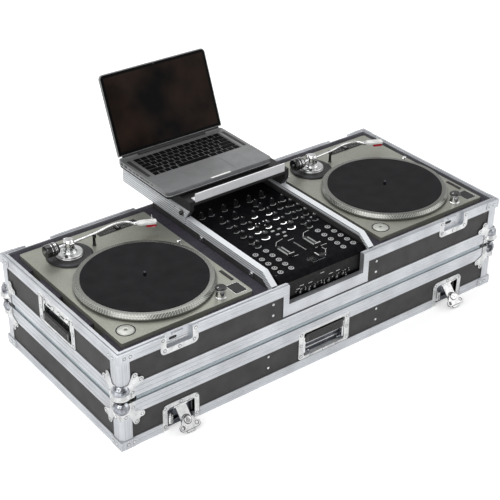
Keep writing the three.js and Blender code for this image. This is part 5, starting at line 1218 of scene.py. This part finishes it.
def addTonearm(piece):
    level = deck['armLevel']
    along = shift(0, 0, level) @ turn('X', -90)
    line = curveThrough([(x, y, level) for x, y in armLine], 14)
    piece.add(brightSteel, tube(line, deck['armTube'], 18))
    piece.turned(brightSteel, [(0, 22.3), (11, 22.3), (13, 26), (13, 40), (10, 45), (0, 45)],
                 36, 1.6, steps=4)
    for side in (-1, 1):
        piece.block(brightSteel, (side * 13.2, -6, 24), (side * 17.8, 6, 41), 1.4)
        piece.turned(blackGloss, [(0, 0), (3, 0), (2.6, 1.6), (0, 1.6)], 18, 0.4,
                     shift(side * 17.6, 0, level) @ turn('Y', side * 90))
    piece.block(brightSteel, (-15, -3.2, 24), (15, 3.2, 27), 0.8)
    piece.add(brightSteel, tube([(0, 8, level), (0, 66, level)], 4, 18))
    # the counterweight with its bands and its dial
    piece.turned(blackGloss, [(4.2, 35), (15, 35), (16, 36.4), (16, 44), (15.3, 45), (16, 46),
                              (16, 60), (14.5, 64), (4.2, 64), (4.2, 35)], 48, 0.7, along)
    for y in (37.4, 41, 49):
        piece.turned(brightSteel, flatRing(15.5, 16.25, y, y + 1.5), 40, 0, along)
    piece.turned(blackMatt, [(4.2, 30), (12, 30), (12.6, 31), (12.6, 35.2), (4.2, 35.2), (4.2, 30)],
                 40, 0.5, along)
    head = shift(*armLine[-1], level) @ turn('Z', deck['headTurn'])
    piece.turned(brightSteel, [(0, -9), (5.2, -9), (5.6, -8), (5.6, 2), (5, 3), (0, 3)], 28, 0.6,
                 head @ turn('X', -90))
    shell = [(-5, -4), (-9.6, -14), (-9.6, -50), (-7, -53)]
    shell += [(-x, y) for x, y in shell[::-1]]
    slots = [roundedBox(2.2, 20, 1, x=side * 4.6, y=-36) for side in (-1, 1)]
    piece.sheet(shellWhite, [softened(shell, 2, 3, True)] + slots, -1, 4, 0.8, head)
    for finish, low, high, bevel in ((shellWhite, (-2.4, -16, -1), (2.4, 0, 3.6), 1),
                                     (cartridgeRed, (-6, -52, -10.5), (6, -27, -0.6), 1.6),
                                     (shellWhite, (-4.5, -50, -12), (4.5, -40, -10), 0.8)):
        piece.block(finish, low, high, bevel, head)
    piece.add(brightSteel, tube([(0, -47, -11.4), (0, -50, -14.2)], [0.9, 0.4], 10), head)
    lift = curveThrough([(8, -42, 1), (14, -44, 1.4), (20, -45, 4), (24, -44.5, 8)], 6)
    piece.add(brightSteel, tube(lift, 1, 10), head)


def addStartButton(piece):
    x, y = deck['startPlace']
    half, deep = deck['startLength'] / 2, deck['startDepth'] / 2
    piece.add(blackMatt, roundBlock((x - half, y - deep, -4), (x + half, y + deep, 1), 1.2, 3))


for name, side in (('left', -1), ('right', 1)):
    deckPlace = shift(side * deck['x'], deck['y'], deck['top']) @ turn('Z', 90)
    platterPlace = deckPlace @ shift(deck['spindleX'], 0, 0)
    spun = spunAluminium(f'spunAluminium_{name}', caseToRow @ platterPlace.translation, '#6c6d69',
                         '#969792')
    for part, place, body, slot, builds in (
            ('plinth', deckPlace, 'deck', 'deck_shell',
             (addPlinth, addTower, addArmBase, addDeckControls)),
            ('platter', platterPlace, 'platter', 'platter_aluminium',
             (partial(addPlatter, spun=spun),)),
            ('slipmat', platterPlace, 'platter', 'felt', (addMat,)),
            ('tonearm', deckPlace @ onDeck('pivot'), 'tonearm', 'bright_chrome', (addTonearm,)),
            ('start_button', deckPlace, 'start', 'deck_shell', (addStartButton,))):
        piece = Piece(f'dressed_{part}_{name}', place)
        for build in builds:
            build(piece)
        piece.finish(f'{body}_{name}', slot, f'deck_{part}_{name}')
print('turntables made')

# mixer; its places are read off the photo, as x and y on the top or x and z on the front
mixer = {
    'left': -129, 'right': 138, 'front': -240, 'back': 176, 'low': 177, 'top': 262, 'bevelRun': 9,
    'bevelDrop': 10, 'faders': ((-36.1, -147.2), (45.1, -147.2)), 'crossfader': (9, -208),
    'travel': 44, 'drawnBack': 22, 'knob': 6.4, 'wideKnob': 8.8, 'knobHeight': 14.6,
}
knobPlaces = [
    (-103, 105), (-75, 105), (-75, 58), (-75, 30), (-75, 1), (-75, -28), (-76, -62), (-75, -86),
    (-34, 105), (-34, 58), (-34, 26), (-34, -4.5), (-33, -31.5), (5, 105), (6, 33.5), (4, -26.5),
    (46, 105), (46, 78), (46, 55.5), (46, 25.5), (46, -3.5), (47, -31.5), (87, 105), (85, 58.5),
    (87, 31.5), (88, 1.5), (86, -28.5), (86, -62), (87, -85.5), (117, 58.5), (119, 27), (120, -2),
    (120, -31), (121, -66),
]
wideKnobPlaces = [(48, -61.5), (-34, -63.5)]
brightArcs = [(6, 33.5), (46, 25.5), (46, -3.5), (47, -31.5), (-34, -4.5), (4, -26.5), (-33, -31.5)]
greyArcs = [(46, 55.5), (87, 31.5), (88, 1.5), (86, -28.5), (85, 58.5), (117, 58.5), (87, -85.5),
            (-75, -86)]
printedTicks = [(47, 64), (121, 17), (121, -12), (121, -41), (85, -77), (122, -75), (-77, -76)]
mixerButtons = [(18, -54), (-2, -54), (-1, -73), (18, -74), (9, -90), (121, -57)]
mixerLamps = [(11, 0), (20, 0), (-4, -3), (-12, 1), (-16, -11), (3, -18)]
printedLines = [
    [(75, -100), (56, -103), (40, -120)], [(-4, -95), (-26, -99), (-39, -113)],
    [(33, -175), (69, -175)], [(47, -181), (49, -194), (54, -192)],
    [(49, -194), (30, -216)], [(1, -110), (19, -109)], [(-37, -174), (-20, -175)],
]
levelBars = [[(x, -124), (x + 1, -164)] for x in (-41.6, -30.6, 39.6, 50.6)]
frontControls = [(-72, 214, 4.6), (-56, 216, 3.4), (-45, 211, 4.6), (-28, 213, 4.6), (-7, 216, 3.2),
                 (2, 211, 3.2), (15, 214, 5), (41, 214, 5), (60, 217, 4.4), (70, 209, 3.2),
                 (79, 219, 3.2)]
frontMarks = [(-62, 226), (-73, 220), (-36, 224), (28, 226), (50, 226), (0, 238)]


def printBar(piece, finish, x, y, halfX, halfY, level):
    piece.block(finish, (x - halfX, y - halfY, level), (x + halfX, y + halfY, level + 0.2))


def markFront(piece, x, z, halfX, halfZ):
    face = mixer['front'] - 0.6
    piece.block(whitePrint, (x - halfX, face - 0.4, z - halfZ), (x + halfX, face, z + halfZ))


def printLine(piece, line, width, height, finish):
    for (ax, ay), (bx, by) in zip(line, line[1:]):
        half = math.hypot(bx - ax, by - ay) / 2
        piece.block(finish, (-half, -width / 2, 0), (half, width / 2, 0.2), 0,
                    shift((ax + bx) / 2, (ay + by) / 2, height)
                    @ turn('Z', math.degrees(math.atan2(by - ay, bx - ax))))


def printArc(piece, place, radius, width, height, finish, start=205, end=335):
    outer = arcPoints(*place, radius + width / 2, start, end, 14)
    inner = arcPoints(*place, radius - width / 2, end, start, 14)
    piece.sheet(finish, [outer + inner], height, height + 0.25)


def addMixerShell(piece):
    m = mixer
    front, back, low, top = m['front'], m['back'], m['low'], m['top']
    outline = [(front, low), (back, low), (back, top), (front + m['bevelRun'], top),
               (front, top - m['bevelDrop'])]
    piece.sheet(mixerEnamel, [softened(outline, 4, 4, True)], m['left'], m['right'], 1.2, towardX)
    middle, width = (m['left'] + m['right']) / 2, m['right'] - m['left']
    long = back - front
    plate = roundedBox(width - 5, long - 18, 2, x=middle, y=front + long / 2 + 5)
    piece.sheet(mixerEnamel, [plate], top - 0.2, top + 0.4, 0.25)
    # the front face in the lighter black, which stands for painted light
    face = roundedBox(width - 8, 40, 2, x=middle, y=228)
    piece.sheet(frontEnamel, [face], -front - 0.2, -front + 0.8, 0.3, towardFront)
    corners = [(middle + sideX * (width / 2 - 7), y, top + 0.9)
               for sideX in (-1, 1) for y in (front + 22, -30, back - 10)]
    piece.grow(blackGloss, 'screw', corners, {'facing': (0, 0, 1)},
               {'Radius': 0.0028, 'Height': 0.0012})


def addMixerControls(piece):
    m = mixer
    top, high = m['top'] + 0.4, m['knobHeight']
    for places, radius, taper, flute in ((knobPlaces, m['knob'], 0.82, 0.92),
                                         (wideKnobPlaces, m['wideKnob'], 0.88, 0.94)):
        piece.grow(knobRubber, 'knob', [(*place, top) for place in places], {'facing': (0, 0, 1)},
                   {'Radius': radius * millimetre, 'Height': high * millimetre, 'Taper': taper,
                    'Flute': flute})
    for places, radius in ((knobPlaces, m['knob']), (wideKnobPlaces, m['wideKnob'])):
        for x, y in places:
            piece.turned(blackGloss, [(0, 0), (radius + 1, 0), (radius + 0.6, 1.2), (0, 1.2)], 28,
                         0.4, shift(x, y, top))
            piece.block(whitePrint, (x - 0.5, y + 0.6, top + high - 0.2),
                        (x + 0.5, y + radius * 0.78, top + high + 0.2))
    for place in brightArcs:
        printArc(piece, place, 9.4, 2.6, top, ringLight)
    for place in wideKnobPlaces:
        printArc(piece, place, 12, 2.6, top, ringLight, 195, 345)
    for place in knobPlaces:
        if place not in brightArcs:
            printArc(piece, place, 9.4, 2, top, dimRing if place in greyArcs else greyPrint)
    for place in printedTicks:
        printBar(piece, greyPrint, *place, 4, 0.6, top)
    for x, y in mixerButtons:
        piece.sheet(blackGloss, [roundedBox(11.4, 7.4, 1.6, x=x, y=y)], top - 0.1, top + 0.5, 0.2)
        piece.block(padRubber, (x - 4.6, y - 2.7, top), (x + 4.6, y + 2.7, top + 2.2), 0.7)
    for place in mixerLamps:
        piece.turned(ringLight, [(0, -0.1), (1.3, -0.1), (1.1, 0.8), (0, 1)], 14, 0.4,
                     shift(*place, top))
    for line in printedLines:
        printLine(piece, line, 1.1, top, whitePrint)
    for line in levelBars:
        printLine(piece, line, 4.4, top + 0.3, greyPrint)
    for i in range(14):
        printBar(piece, whitePrint, 8 + i * 0.15, -124 - i * 3.3, 1.4, 0.5, top)
    for i in range(9):
        printBar(piece, greyPrint, -13 + i * 4.4, -222.25, 0.4, 1.75, top)
    for x in (-103.9, -72.1, 89.9, 121.4):
        for y in (-212, -189.7, -166, -141.8, -116.9):
            for radius, high, finish in ((7.2, 1.8, padRubber), (4.6, 2.1, blackGloss),
                                         (1.5, 2.5, whitePrint)):
                piece.turned(finish, [(0, 0), (radius, 0), (radius, high - 0.4), (0, high)], 28,
                             0.4, shift(x, y, top))
    for place in m['faders']:
        addFaderSlot(piece, shift(*place, top) @ turn('Z', 90))
    addFaderSlot(piece, shift(*m['crossfader'], top))
    for x, z, radius in frontControls:
        place = shift(x, m['front'] - 0.7, z) @ turn('X', 90)
        piece.turned(blackGloss, [(0, 0), (radius + 0.9, 0), (radius + 0.7, 1), (radius, 1.6),
                                  (radius * 0.86, 7.5), (0, 8)], 24, 0.6, place)
        piece.block(whitePrint, (-0.5, radius * 0.2, 7.6), (0.5, radius * 0.75, 8.2), 0, place)
        for side in (-1, 1):
            markFront(piece, x + side * (radius + 2.4), z, 0.7, 1.8)
    for place in frontMarks:
        markFront(piece, *place, 6, 0.7)


def addFaderSlot(piece, place):
    half = mixer['travel'] / 2
    rim, gap = roundedBox(half * 2 + 15, 8, 1.5), roundedBox(half * 2 + 10, 2.6, 1.2)
    piece.sheet(blackGloss, [rim, gap], -0.1, 0.35, 0.15, place)
    piece.sheet(blackMatt, [gap], -0.2, 0.05, 0, place)
    for i in range(11):
        x = half * (i / 5 - 1)
        for side in (-1, 1):
            end = side * (9 if i % 5 == 0 else 7.6)
            piece.block(greyPrint, (x - 0.3, side * 6, 0), (x + 0.3, end, 0.2), 0, place)


def addFaderCap(piece):
    outline = [(-4.5, 0.7), (4.5, 0.7), (2.9, 9.4), (0, 8.2), (-2.9, 9.4)]
    piece.sheet(knobRubber, [softened(outline, 0.9, 3, True)], -8, 8, 0.8, towardFront)
    piece.block(faderPlastic, (-1, -8.1, 8), (1, 8.1, 8.7), 0.2)
    piece.block(brightSteel, (-3, -0.8, -5), (3, 0.8, 1))


piece = Piece('dressed_mixer')
addMixerShell(piece)
addMixerControls(piece)
piece.finish('base', 'mixer_shell', 'mixer_body')
faderPlaces = [(f'fader_{side}', shift(x, y - mixer['drawnBack'], mixer['top']) @ turn('Z', 90))
               for side, (x, y) in zip(('left', 'right'), mixer['faders'])]
for name, place in [('crossfader', shift(*mixer['crossfader'], mixer['top']))] + faderPlaces:
    piece = Piece('dressed_' + name, place)
    addFaderCap(piece)
    piece.finish(name, 'fader_plastic', 'mixer_' + name)
print('mixer made')

# laptop, drawn with its front edge at y = 0 and its feet at z = 0
laptop = {
    'place': (-33, 115.5, 333.6), 'width': 325, 'depth': 227, 'corner': 12, 'feet': 1.5,
    'top': 23.5, 'boardWidth': 272, 'boardDepth': 104, 'boardBack': 26, 'padWidth': 105,
    'padDepth': 72, 'gap': 14, 'hingeInset': 9, 'hingeRise': 1, 'display': 218, 'neck': 6,
    'thickness': 6, 'openAngle': 112, 'bezel': 10, 'footInset': 24, 'socketLevel': 17,
}
keyRowWidths = [
    [1.0] * 14, [1.0] * 13 + [1.9], [1.5] + [1.0] * 12 + [1.4], [1.8] + [1.0] * 11 + [2.1],
    [2.4] + [1.0] * 10 + [2.5], [1.0, 1.0, 1.0, 1.25, 5.6, 1.25, 1.0, 1.0, 1.0, 1.0],
]
# sockets of the left side: place from the front, width and height
sockets = [(206, 9, 9), (188, 13, 9), (168, 14, 4), (150, 10, 4), (134, 12, 5), (116, 12, 5),
           (98, 34, 3), (68, 5, 5)]


def addLaptopBase(piece):
    m = laptop
    width, depth, top, middle = m['width'], m['depth'], m['top'], m['depth'] / 2
    boardWidth, boardDepth, padDepth = m['boardWidth'], m['boardDepth'], m['padDepth']
    rear = depth - m['boardBack']
    front, board = rear - boardDepth, rear - boardDepth / 2
    outline = roundedBox(width, depth, m['corner'], y=middle)
    well = roundedBox(boardWidth, boardDepth, 2, y=(rear + front) / 2)
    padShape = roundedBox(m['padWidth'], padDepth, 3, y=front - m['gap'] - padDepth / 2)
    under = roundedBox(width - 2, depth - 2, m['corner'], y=middle)
    for finish, loops, low, high, bevel in (
            (laptopShell, [outline, well, padShape], top - 1.6, top, 0.5),
            (laptopShell, [outline], top - 12, top - 1.6, 1),
            # the bright band at the foot of the shell is painted light, in the lip's aluminium
            (lipAluminium, [outline], top - 12.3, top - 10.3, 0.6),
            # the underside in black matt: painted shade under the laptop
            (blackMatt, [under], m['feet'], top - 9, 10),
            (laptopShell, [well], top - 2, top - 1.3, 0),
            (laptopShell, [padShape], top - 2, top - 0.5, 0.3)):
        piece.sheet(finish, loops, low, high, bevel)
    spots, sizes = [], []
    rowDepth = boardDepth / len(keyRowWidths)
    for i, widths in enumerate(keyRowWidths):
        unit = (boardWidth - 4) / sum(widths)
        x = 2 - boardWidth / 2
        for share in widths:
            spots.append((x + unit * share / 2, rear - rowDepth * (i + 0.5), top - 0.7))
            sizes.append([length * millimetre for length in (unit * share - 3, rowDepth - 3, 1.4)])
            x += unit * share
    piece.grow(laptopKey, 'key', spots, {'size': sizes, 'turning': (0, 0, 0)}, {'Taper': 0.96})
    piece.sheet(shellWhite, [roundedBox(60, 6, 1.5, y=2.6)], top - 0.3, top + 0.15, 0.15)
    for side in (-1, 1):
        grille = roundedBox(10, boardDepth - 4, 2, x=side * (boardWidth / 2 + 13), y=board)
        piece.sheet(blackMatt, [grille], top - 0.1, top + 0.08)
        for sideY in (-1, 1):
            piece.turned(blackMatt, [(0, 0), (7, 0), (7.4, 1.8), (0, 1.8)], 24, 0.5,
                         shift(side * (width / 2 - m['footInset']),
                               middle + sideY * (middle - m['footInset']), 0))
    for y, wide, tall in sockets:
        port = roundedBox(wide, tall * 0.8, min(wide, tall) * 0.3, x=y, y=m['socketLevel'])
        piece.sheet(blackMatt, [port], -width / 2 - 0.12, -width / 2 + 0.6, 0, towardX)


def addDisplay(piece):
    # drawn from its hinge back, with the screen side down at the level of low
    m = laptop
    width, corner, bezel, low = m['width'], m['corner'], m['bezel'], -0.2
    long = m['display'] - m['neck']
    middle = -m['neck'] - long / 2
    shell = roundedBox(width, long, corner, 2, y=middle)
    piece.sheet(laptopShell, [shell], low, low + m['thickness'], 1.2, steps=3)
    inner = roundedBox(width - 5, long - 5, corner - 2.5, 1.5, y=middle)
    piece.sheet(bezelBlack, [inner], low - 0.5, low + 0.2, 0.25)
    screen = roundedBox(width - 2 * bezel, long - 2 * bezel, 1.5, y=middle)
    piece.sheet(screenGlass, [screen], low - 0.62, low)
    piece.turned(blackGloss, [(0, low - 0.4), (1.5, low - 0.4), (1.3, low - 0.64), (0, low - 0.64)],
                 16, 0, shift(0, 5 - m['display'], 0))
    piece.add(blackMatt, tube([(-105, 0, 0), (105, 0, 0)], 4, 24))
    piece.block(blackMatt, (-152, -9, low), (152, -1.6, low + 2.4), 0.6)


laptopPlace = shift(*laptop['place'])
hingePlace = laptopPlace @ shift(0, laptop['depth'] - laptop['hingeInset'],
                                 laptop['top'] + laptop['hingeRise'])
hingePlace = hingePlace @ turn('X', -laptop['openAngle'])
for name, build, place, body, node in (
        ('dressed_laptop', addLaptopBase, laptopPlace, 'laptop', 'laptop_base'),
        ('dressed_display', addDisplay, hingePlace, 'display', 'laptop_display')):
    piece = Piece(name, place)
    build(piece)
    piece.finish(body, 'laptop_shell', node)
print('laptop made')

# runners of the gliding shelf, drawn for the right side; side turns x over
runner = {
    'inner': 155.3, 'thickness': 4.3, 'low': 284.3, 'height': 24, 'grooves': 4, 'groove': 0.8,
    'front': 80, 'length': 298, 'slope': 16, 'guideInner': 157.4, 'guideThickness': 3,
    'guideDrop': 17, 'boltBack': 27, 'plate': 18, 'plateThickness': 1.5,
}


def addRunner(piece, side):
    r = runner
    inner, low, high, groove = r['inner'], r['low'], r['height'], r['groove']
    outer = inner + r['thickness']
    spacing = high / (r['grooves'] + 1)
    profile = [(inner, 0), (outer - 0.5, 0), (outer, 0.5)]
    for i in range(1, r['grooves'] + 1):
        z = i * spacing
        profile += [(outer, z - groove), (outer - groove, z - 0.3), (outer - groove, z + 0.3),
                    (outer, z + groove)]
    profile += [(outer, high - 0.5), (outer - 0.5, high), (inner, high)]
    # the front end leans back towards the top
    bar = bmesh.new()
    rings = [[bar.verts.new((side * x, r['front'] + back + slope * (1 - z / high), low + z))
              for x, z in profile] for back, slope in ((0, r['slope']), (r['length'], 0))]
    bar.faces.new(rings[0])
    bar.faces.new(rings[1][::-1])
    for i in range(len(profile)):
        j = (i + 1) % len(profile)
        bar.faces.new((rings[0][i], rings[1][i], rings[1][j], rings[0][j]))
    bmesh.ops.recalc_face_normals(bar, faces=bar.faces[:])
    piece.add(railAluminium, bar)
    near, far = sorted([side * r['guideInner'], side * (r['guideInner'] + r['guideThickness'])])
    piece.block(railAluminium, (near, r['front'] + r['slope'], low - r['guideDrop']),
                (far, r['front'] + r['length'], low + 12), 0.4)
    face, level, y = side * outer, low + high / 2, r['front'] + r['boltBack']
    near, far = sorted([face - side * 0.8, face + side * r['plateThickness']])
    piece.sheet(zincSteel, [roundedBox(r['plate'], r['plate'], 2.5, x=y, y=level)], near, far, 0.4,
                towardX)
    piece.turned(blackGloss, [(0, 0), (5, 0), (5.6, 1), (5.6, 4.6), (4.6, 6), (0, 6)], 28, 0.8,
                 shift(side * (outer + r['plateThickness'] - 0.2), y, level) @ turn('Y', side * 90))
    spots = [(face, r['front'] + back, level) for back in (60, 130, 200, 270)]
    piece.grow(brightSteel, 'screw', spots, {'facing': (side, 0, 0)},
               {'Radius': 0.0032, 'Height': 0.0014})


for name, side in (('left', -1), ('right', 1)):
    piece = Piece(f'dressed_runner_{name}')
    addRunner(piece, side)
    piece.finish('glide', 'edging', f'glide_runner_{name}')

# bent lip and its screws along the front of the shelf
piece = Piece('shelf_fittings')
lip = [(77.2, 330.6), (77.2, 353.6), (80.4, 353.8), (80.6, 335.6), (96, 335.4), (96.2, 333.4),
       (80.6, 333.2), (80.4, 330.6)]
piece.sheet(lipAluminium, [softened(lip, 0.7, 3, True)], -139.2, 139.2, 0.3, towardX)
piece.grow(brightSteel, 'screw', [(x, 88, 335.9) for x in (-120, -60, 0, 60, 120)],
           {'facing': (0, 0, 1)}, {'Radius': 0.0034, 'Height': 0.0014})
piece.finish('glide', 'edging')

# plates with an eye on the bay walls
railPlate = {'places': (-170, 30), 'level': 258.3, 'near': 156.9, 'far': 158.2, 'eye': 158}
piece = Piece('rail_fittings')
for side in (-1, 1):
    for y in railPlate['places']:
        low, high = sorted([side * railPlate['near'], side * railPlate['far']])
        piece.sheet(zincSteel, [roundedBox(17, 15, 2, x=y, y=railPlate['level'])], low, high, 0.35,
                    towardX)
        place = shift(side * railPlate['eye'], y, railPlate['level']) @ turn('Y', side * 90)
        piece.turned(brightSteel, [(2.6, 0), (5.4, 0), (5, 2.4), (2.6, 2.4), (2.6, 0)], 24, 0.5,
                     place)
        piece.turned(blackMatt, [(0, 0), (2.7, 0), (2.7, 0.6), (0, 0.6)], 20, 0, place)
piece.finish('base', 'fitting_steel')
print('shelf made')

# foam packing, cut from thick sheet: edges rolled a little by the knife
foamRoll = 1.6
for name, body in (('deck_foam_left', 'base'), ('deck_foam_right', 'base'), ('mixer_foam', 'base'),
                   ('lid_foam', 'lid')):
    piece = Piece('padded_' + name)
    cut = bmesh.new()
    cut.from_mesh(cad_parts[name].data)
    bmesh.ops.remove_doubles(cut, verts=cut.verts[:], dist=1e-6)
    cut.transform(caseToRow.inverted())
    bmesh.ops.dissolve_limit(cut, angle_limit=math.radians(1), verts=cut.verts[:],
                             edges=cut.edges[:])
    piece.add(foam, bevelSharp(cut, foamRoll, 3))
    made = piece.finish(body, 'foam', name, sharpAngle=60)
print('foam made')

finishRivets()
print('rivets made')

# floor, camera and light; the camera is the one fitted to the photo
view = {
    'azimuth': -37.8955, 'elevation': 31.1946, 'roll': 0.01337,
    'place': (-1.635763, -2.122876, 1.776784), 'lens': 87.96, 'sensor': 36,
}
stage = {
    'floorHalf': 30, 'floorLevel': -0.0005, 'floorLift': (0.3, 0.62), 'liftAt': (1.6, 4.5),
    'ambient': 0.42, 'ceiling': 0.45,
}
# each lamp: place, aim, size in metres and power in watts
lamps = {
    'keyLight': ((-2.3, -1.3, 2.4), (0, 0, 0.2), (3, 3), 66),
    'sideLight': ((2.4, -1.6, 1.8), (0, 0, 0.2), (3, 3), 30),
    'topLight': ((0.2, 1.2, 2.8), (0, 0, 0.25), (3, 2.2), 44),
}
scene = bpy.context.scene


def addCamera():
    across, up, roll = math.radians(view['azimuth']), math.radians(view['elevation']), view['roll']
    back = Vector((math.sin(across) * math.cos(up), -math.cos(across) * math.cos(up), math.sin(up)))
    right = Vector((math.cos(across), math.sin(across), 0))
    above = back.cross(right)
    axes = (right * math.cos(roll) + above * math.sin(roll),
            above * math.cos(roll) - right * math.sin(roll), back, Vector(view['place']))
    camera = bpy.data.objects.new('camera', bpy.data.cameras.new('camera'))
    camera.data.lens = view['lens']
    camera.data.sensor_width = view['sensor']
    camera.data.dof.use_dof = False
    camera.matrix_world = Matrix([[axis[i] for axis in axes] for i in range(3)] + [(0, 0, 0, 1)])
    scene.collection.objects.link(camera)
    scene.camera = camera


def seenDirectly(add):
    # 1 where the camera, a mirror or clear glass looks, 0 where light is gathered
    rays = add('LightPath').outputs
    seen = add('Math', (rays['Is Camera Ray'], rays['Is Glossy Ray']), operation='MAXIMUM')
    return add('Math', (seen, rays['Is Transmission Ray']), operation='MAXIMUM')


def addFloor():
    # white sweep of painted board; it is lifted more where the lamps no longer reach it, and
    # keeps the shadow near the case
    material, add, place = startMaterial('studioFloor')
    cloud = add('TexNoise', patternOf(place, 400, 2))
    away = add('VectorMath', (place,), operation='LENGTH').outputs['Value']
    (near, far), (low, high) = stage['liftAt'], stage['floorLift']
    amount = add('MapRange', {'Value': away, 'From Min': near, 'From Max': far, 'To Min': low,
                              'To Max': high})
    lift = add('Math', (seenDirectly(add), amount), operation='MULTIPLY')
    finishMaterial(material, add, (cloud, 0.3, 0.7), ('#f4f4f4', '#f7f7f7'), None, None,
                   {'Roughness': 0.9, 'Specular IOR Level': 0.1,
                    'Emission Color': colour('#ffffff'), 'Emission Strength': lift})
    mesh = bpy.data.meshes.new('floor')
    corners = [(x * stage['floorHalf'], y * stage['floorHalf'], stage['floorLevel'])
               for x, y in ((-1, -1), (1, -1), (1, 1), (-1, 1))]
    mesh.from_pydata(corners, [], [(0, 1, 2, 3)])
    mesh.materials.append(material)
    floor = bpy.data.objects.new('floor', mesh)
    scene.collection.objects.link(floor)


def addWorld():
    # a white room whose ceiling is darker, which gives metal its dark bands
    scene.world = bpy.data.worlds.new('studio')
    scene.world.use_nodes = True
    scene.world.node_tree.nodes.clear()
    add = partial(addNode, scene.world.node_tree)
    light = add('Background', {'Color': colour('#ffffff'), 'Strength': stage['ambient']})
    height = add('SeparateXYZ', (add('TexCoord').outputs['Generated'],)).outputs['Z']
    ceiling = stage['ceiling']
    room = add('ValToRGB', (height,), [(0.25, 1.0), (0.62, ceiling), (1.0, ceiling)])
    room = add('Math', (room, add('LightPath').outputs['Is Camera Ray']), operation='MAXIMUM')
    seen = add('Background', {'Color': room, 'Strength': 1.0})
    mixed = add('MixShader', (seenDirectly(add), light, seen))
    add('OutputWorld', {'Surface': mixed})


addCamera()
addFloor()
addWorld()
for name, (place, aim, size, power) in lamps.items():
    lamp = bpy.data.objects.new(name, bpy.data.lights.new(name, 'AREA'))
    lamp.data.shape = 'RECTANGLE'
    lamp.data.size, lamp.data.size_y = size
    lamp.data.energy = power
    toward = (Vector(place) - Vector(aim)).to_track_quat('Z', 'Y')
    lamp.matrix_world = shift(*place) @ toward.to_matrix().to_4x4()
    scene.collection.objects.link(lamp)
scene.view_settings.view_transform = 'Standard'
scene.view_settings.look = 'None'
print('stage set')
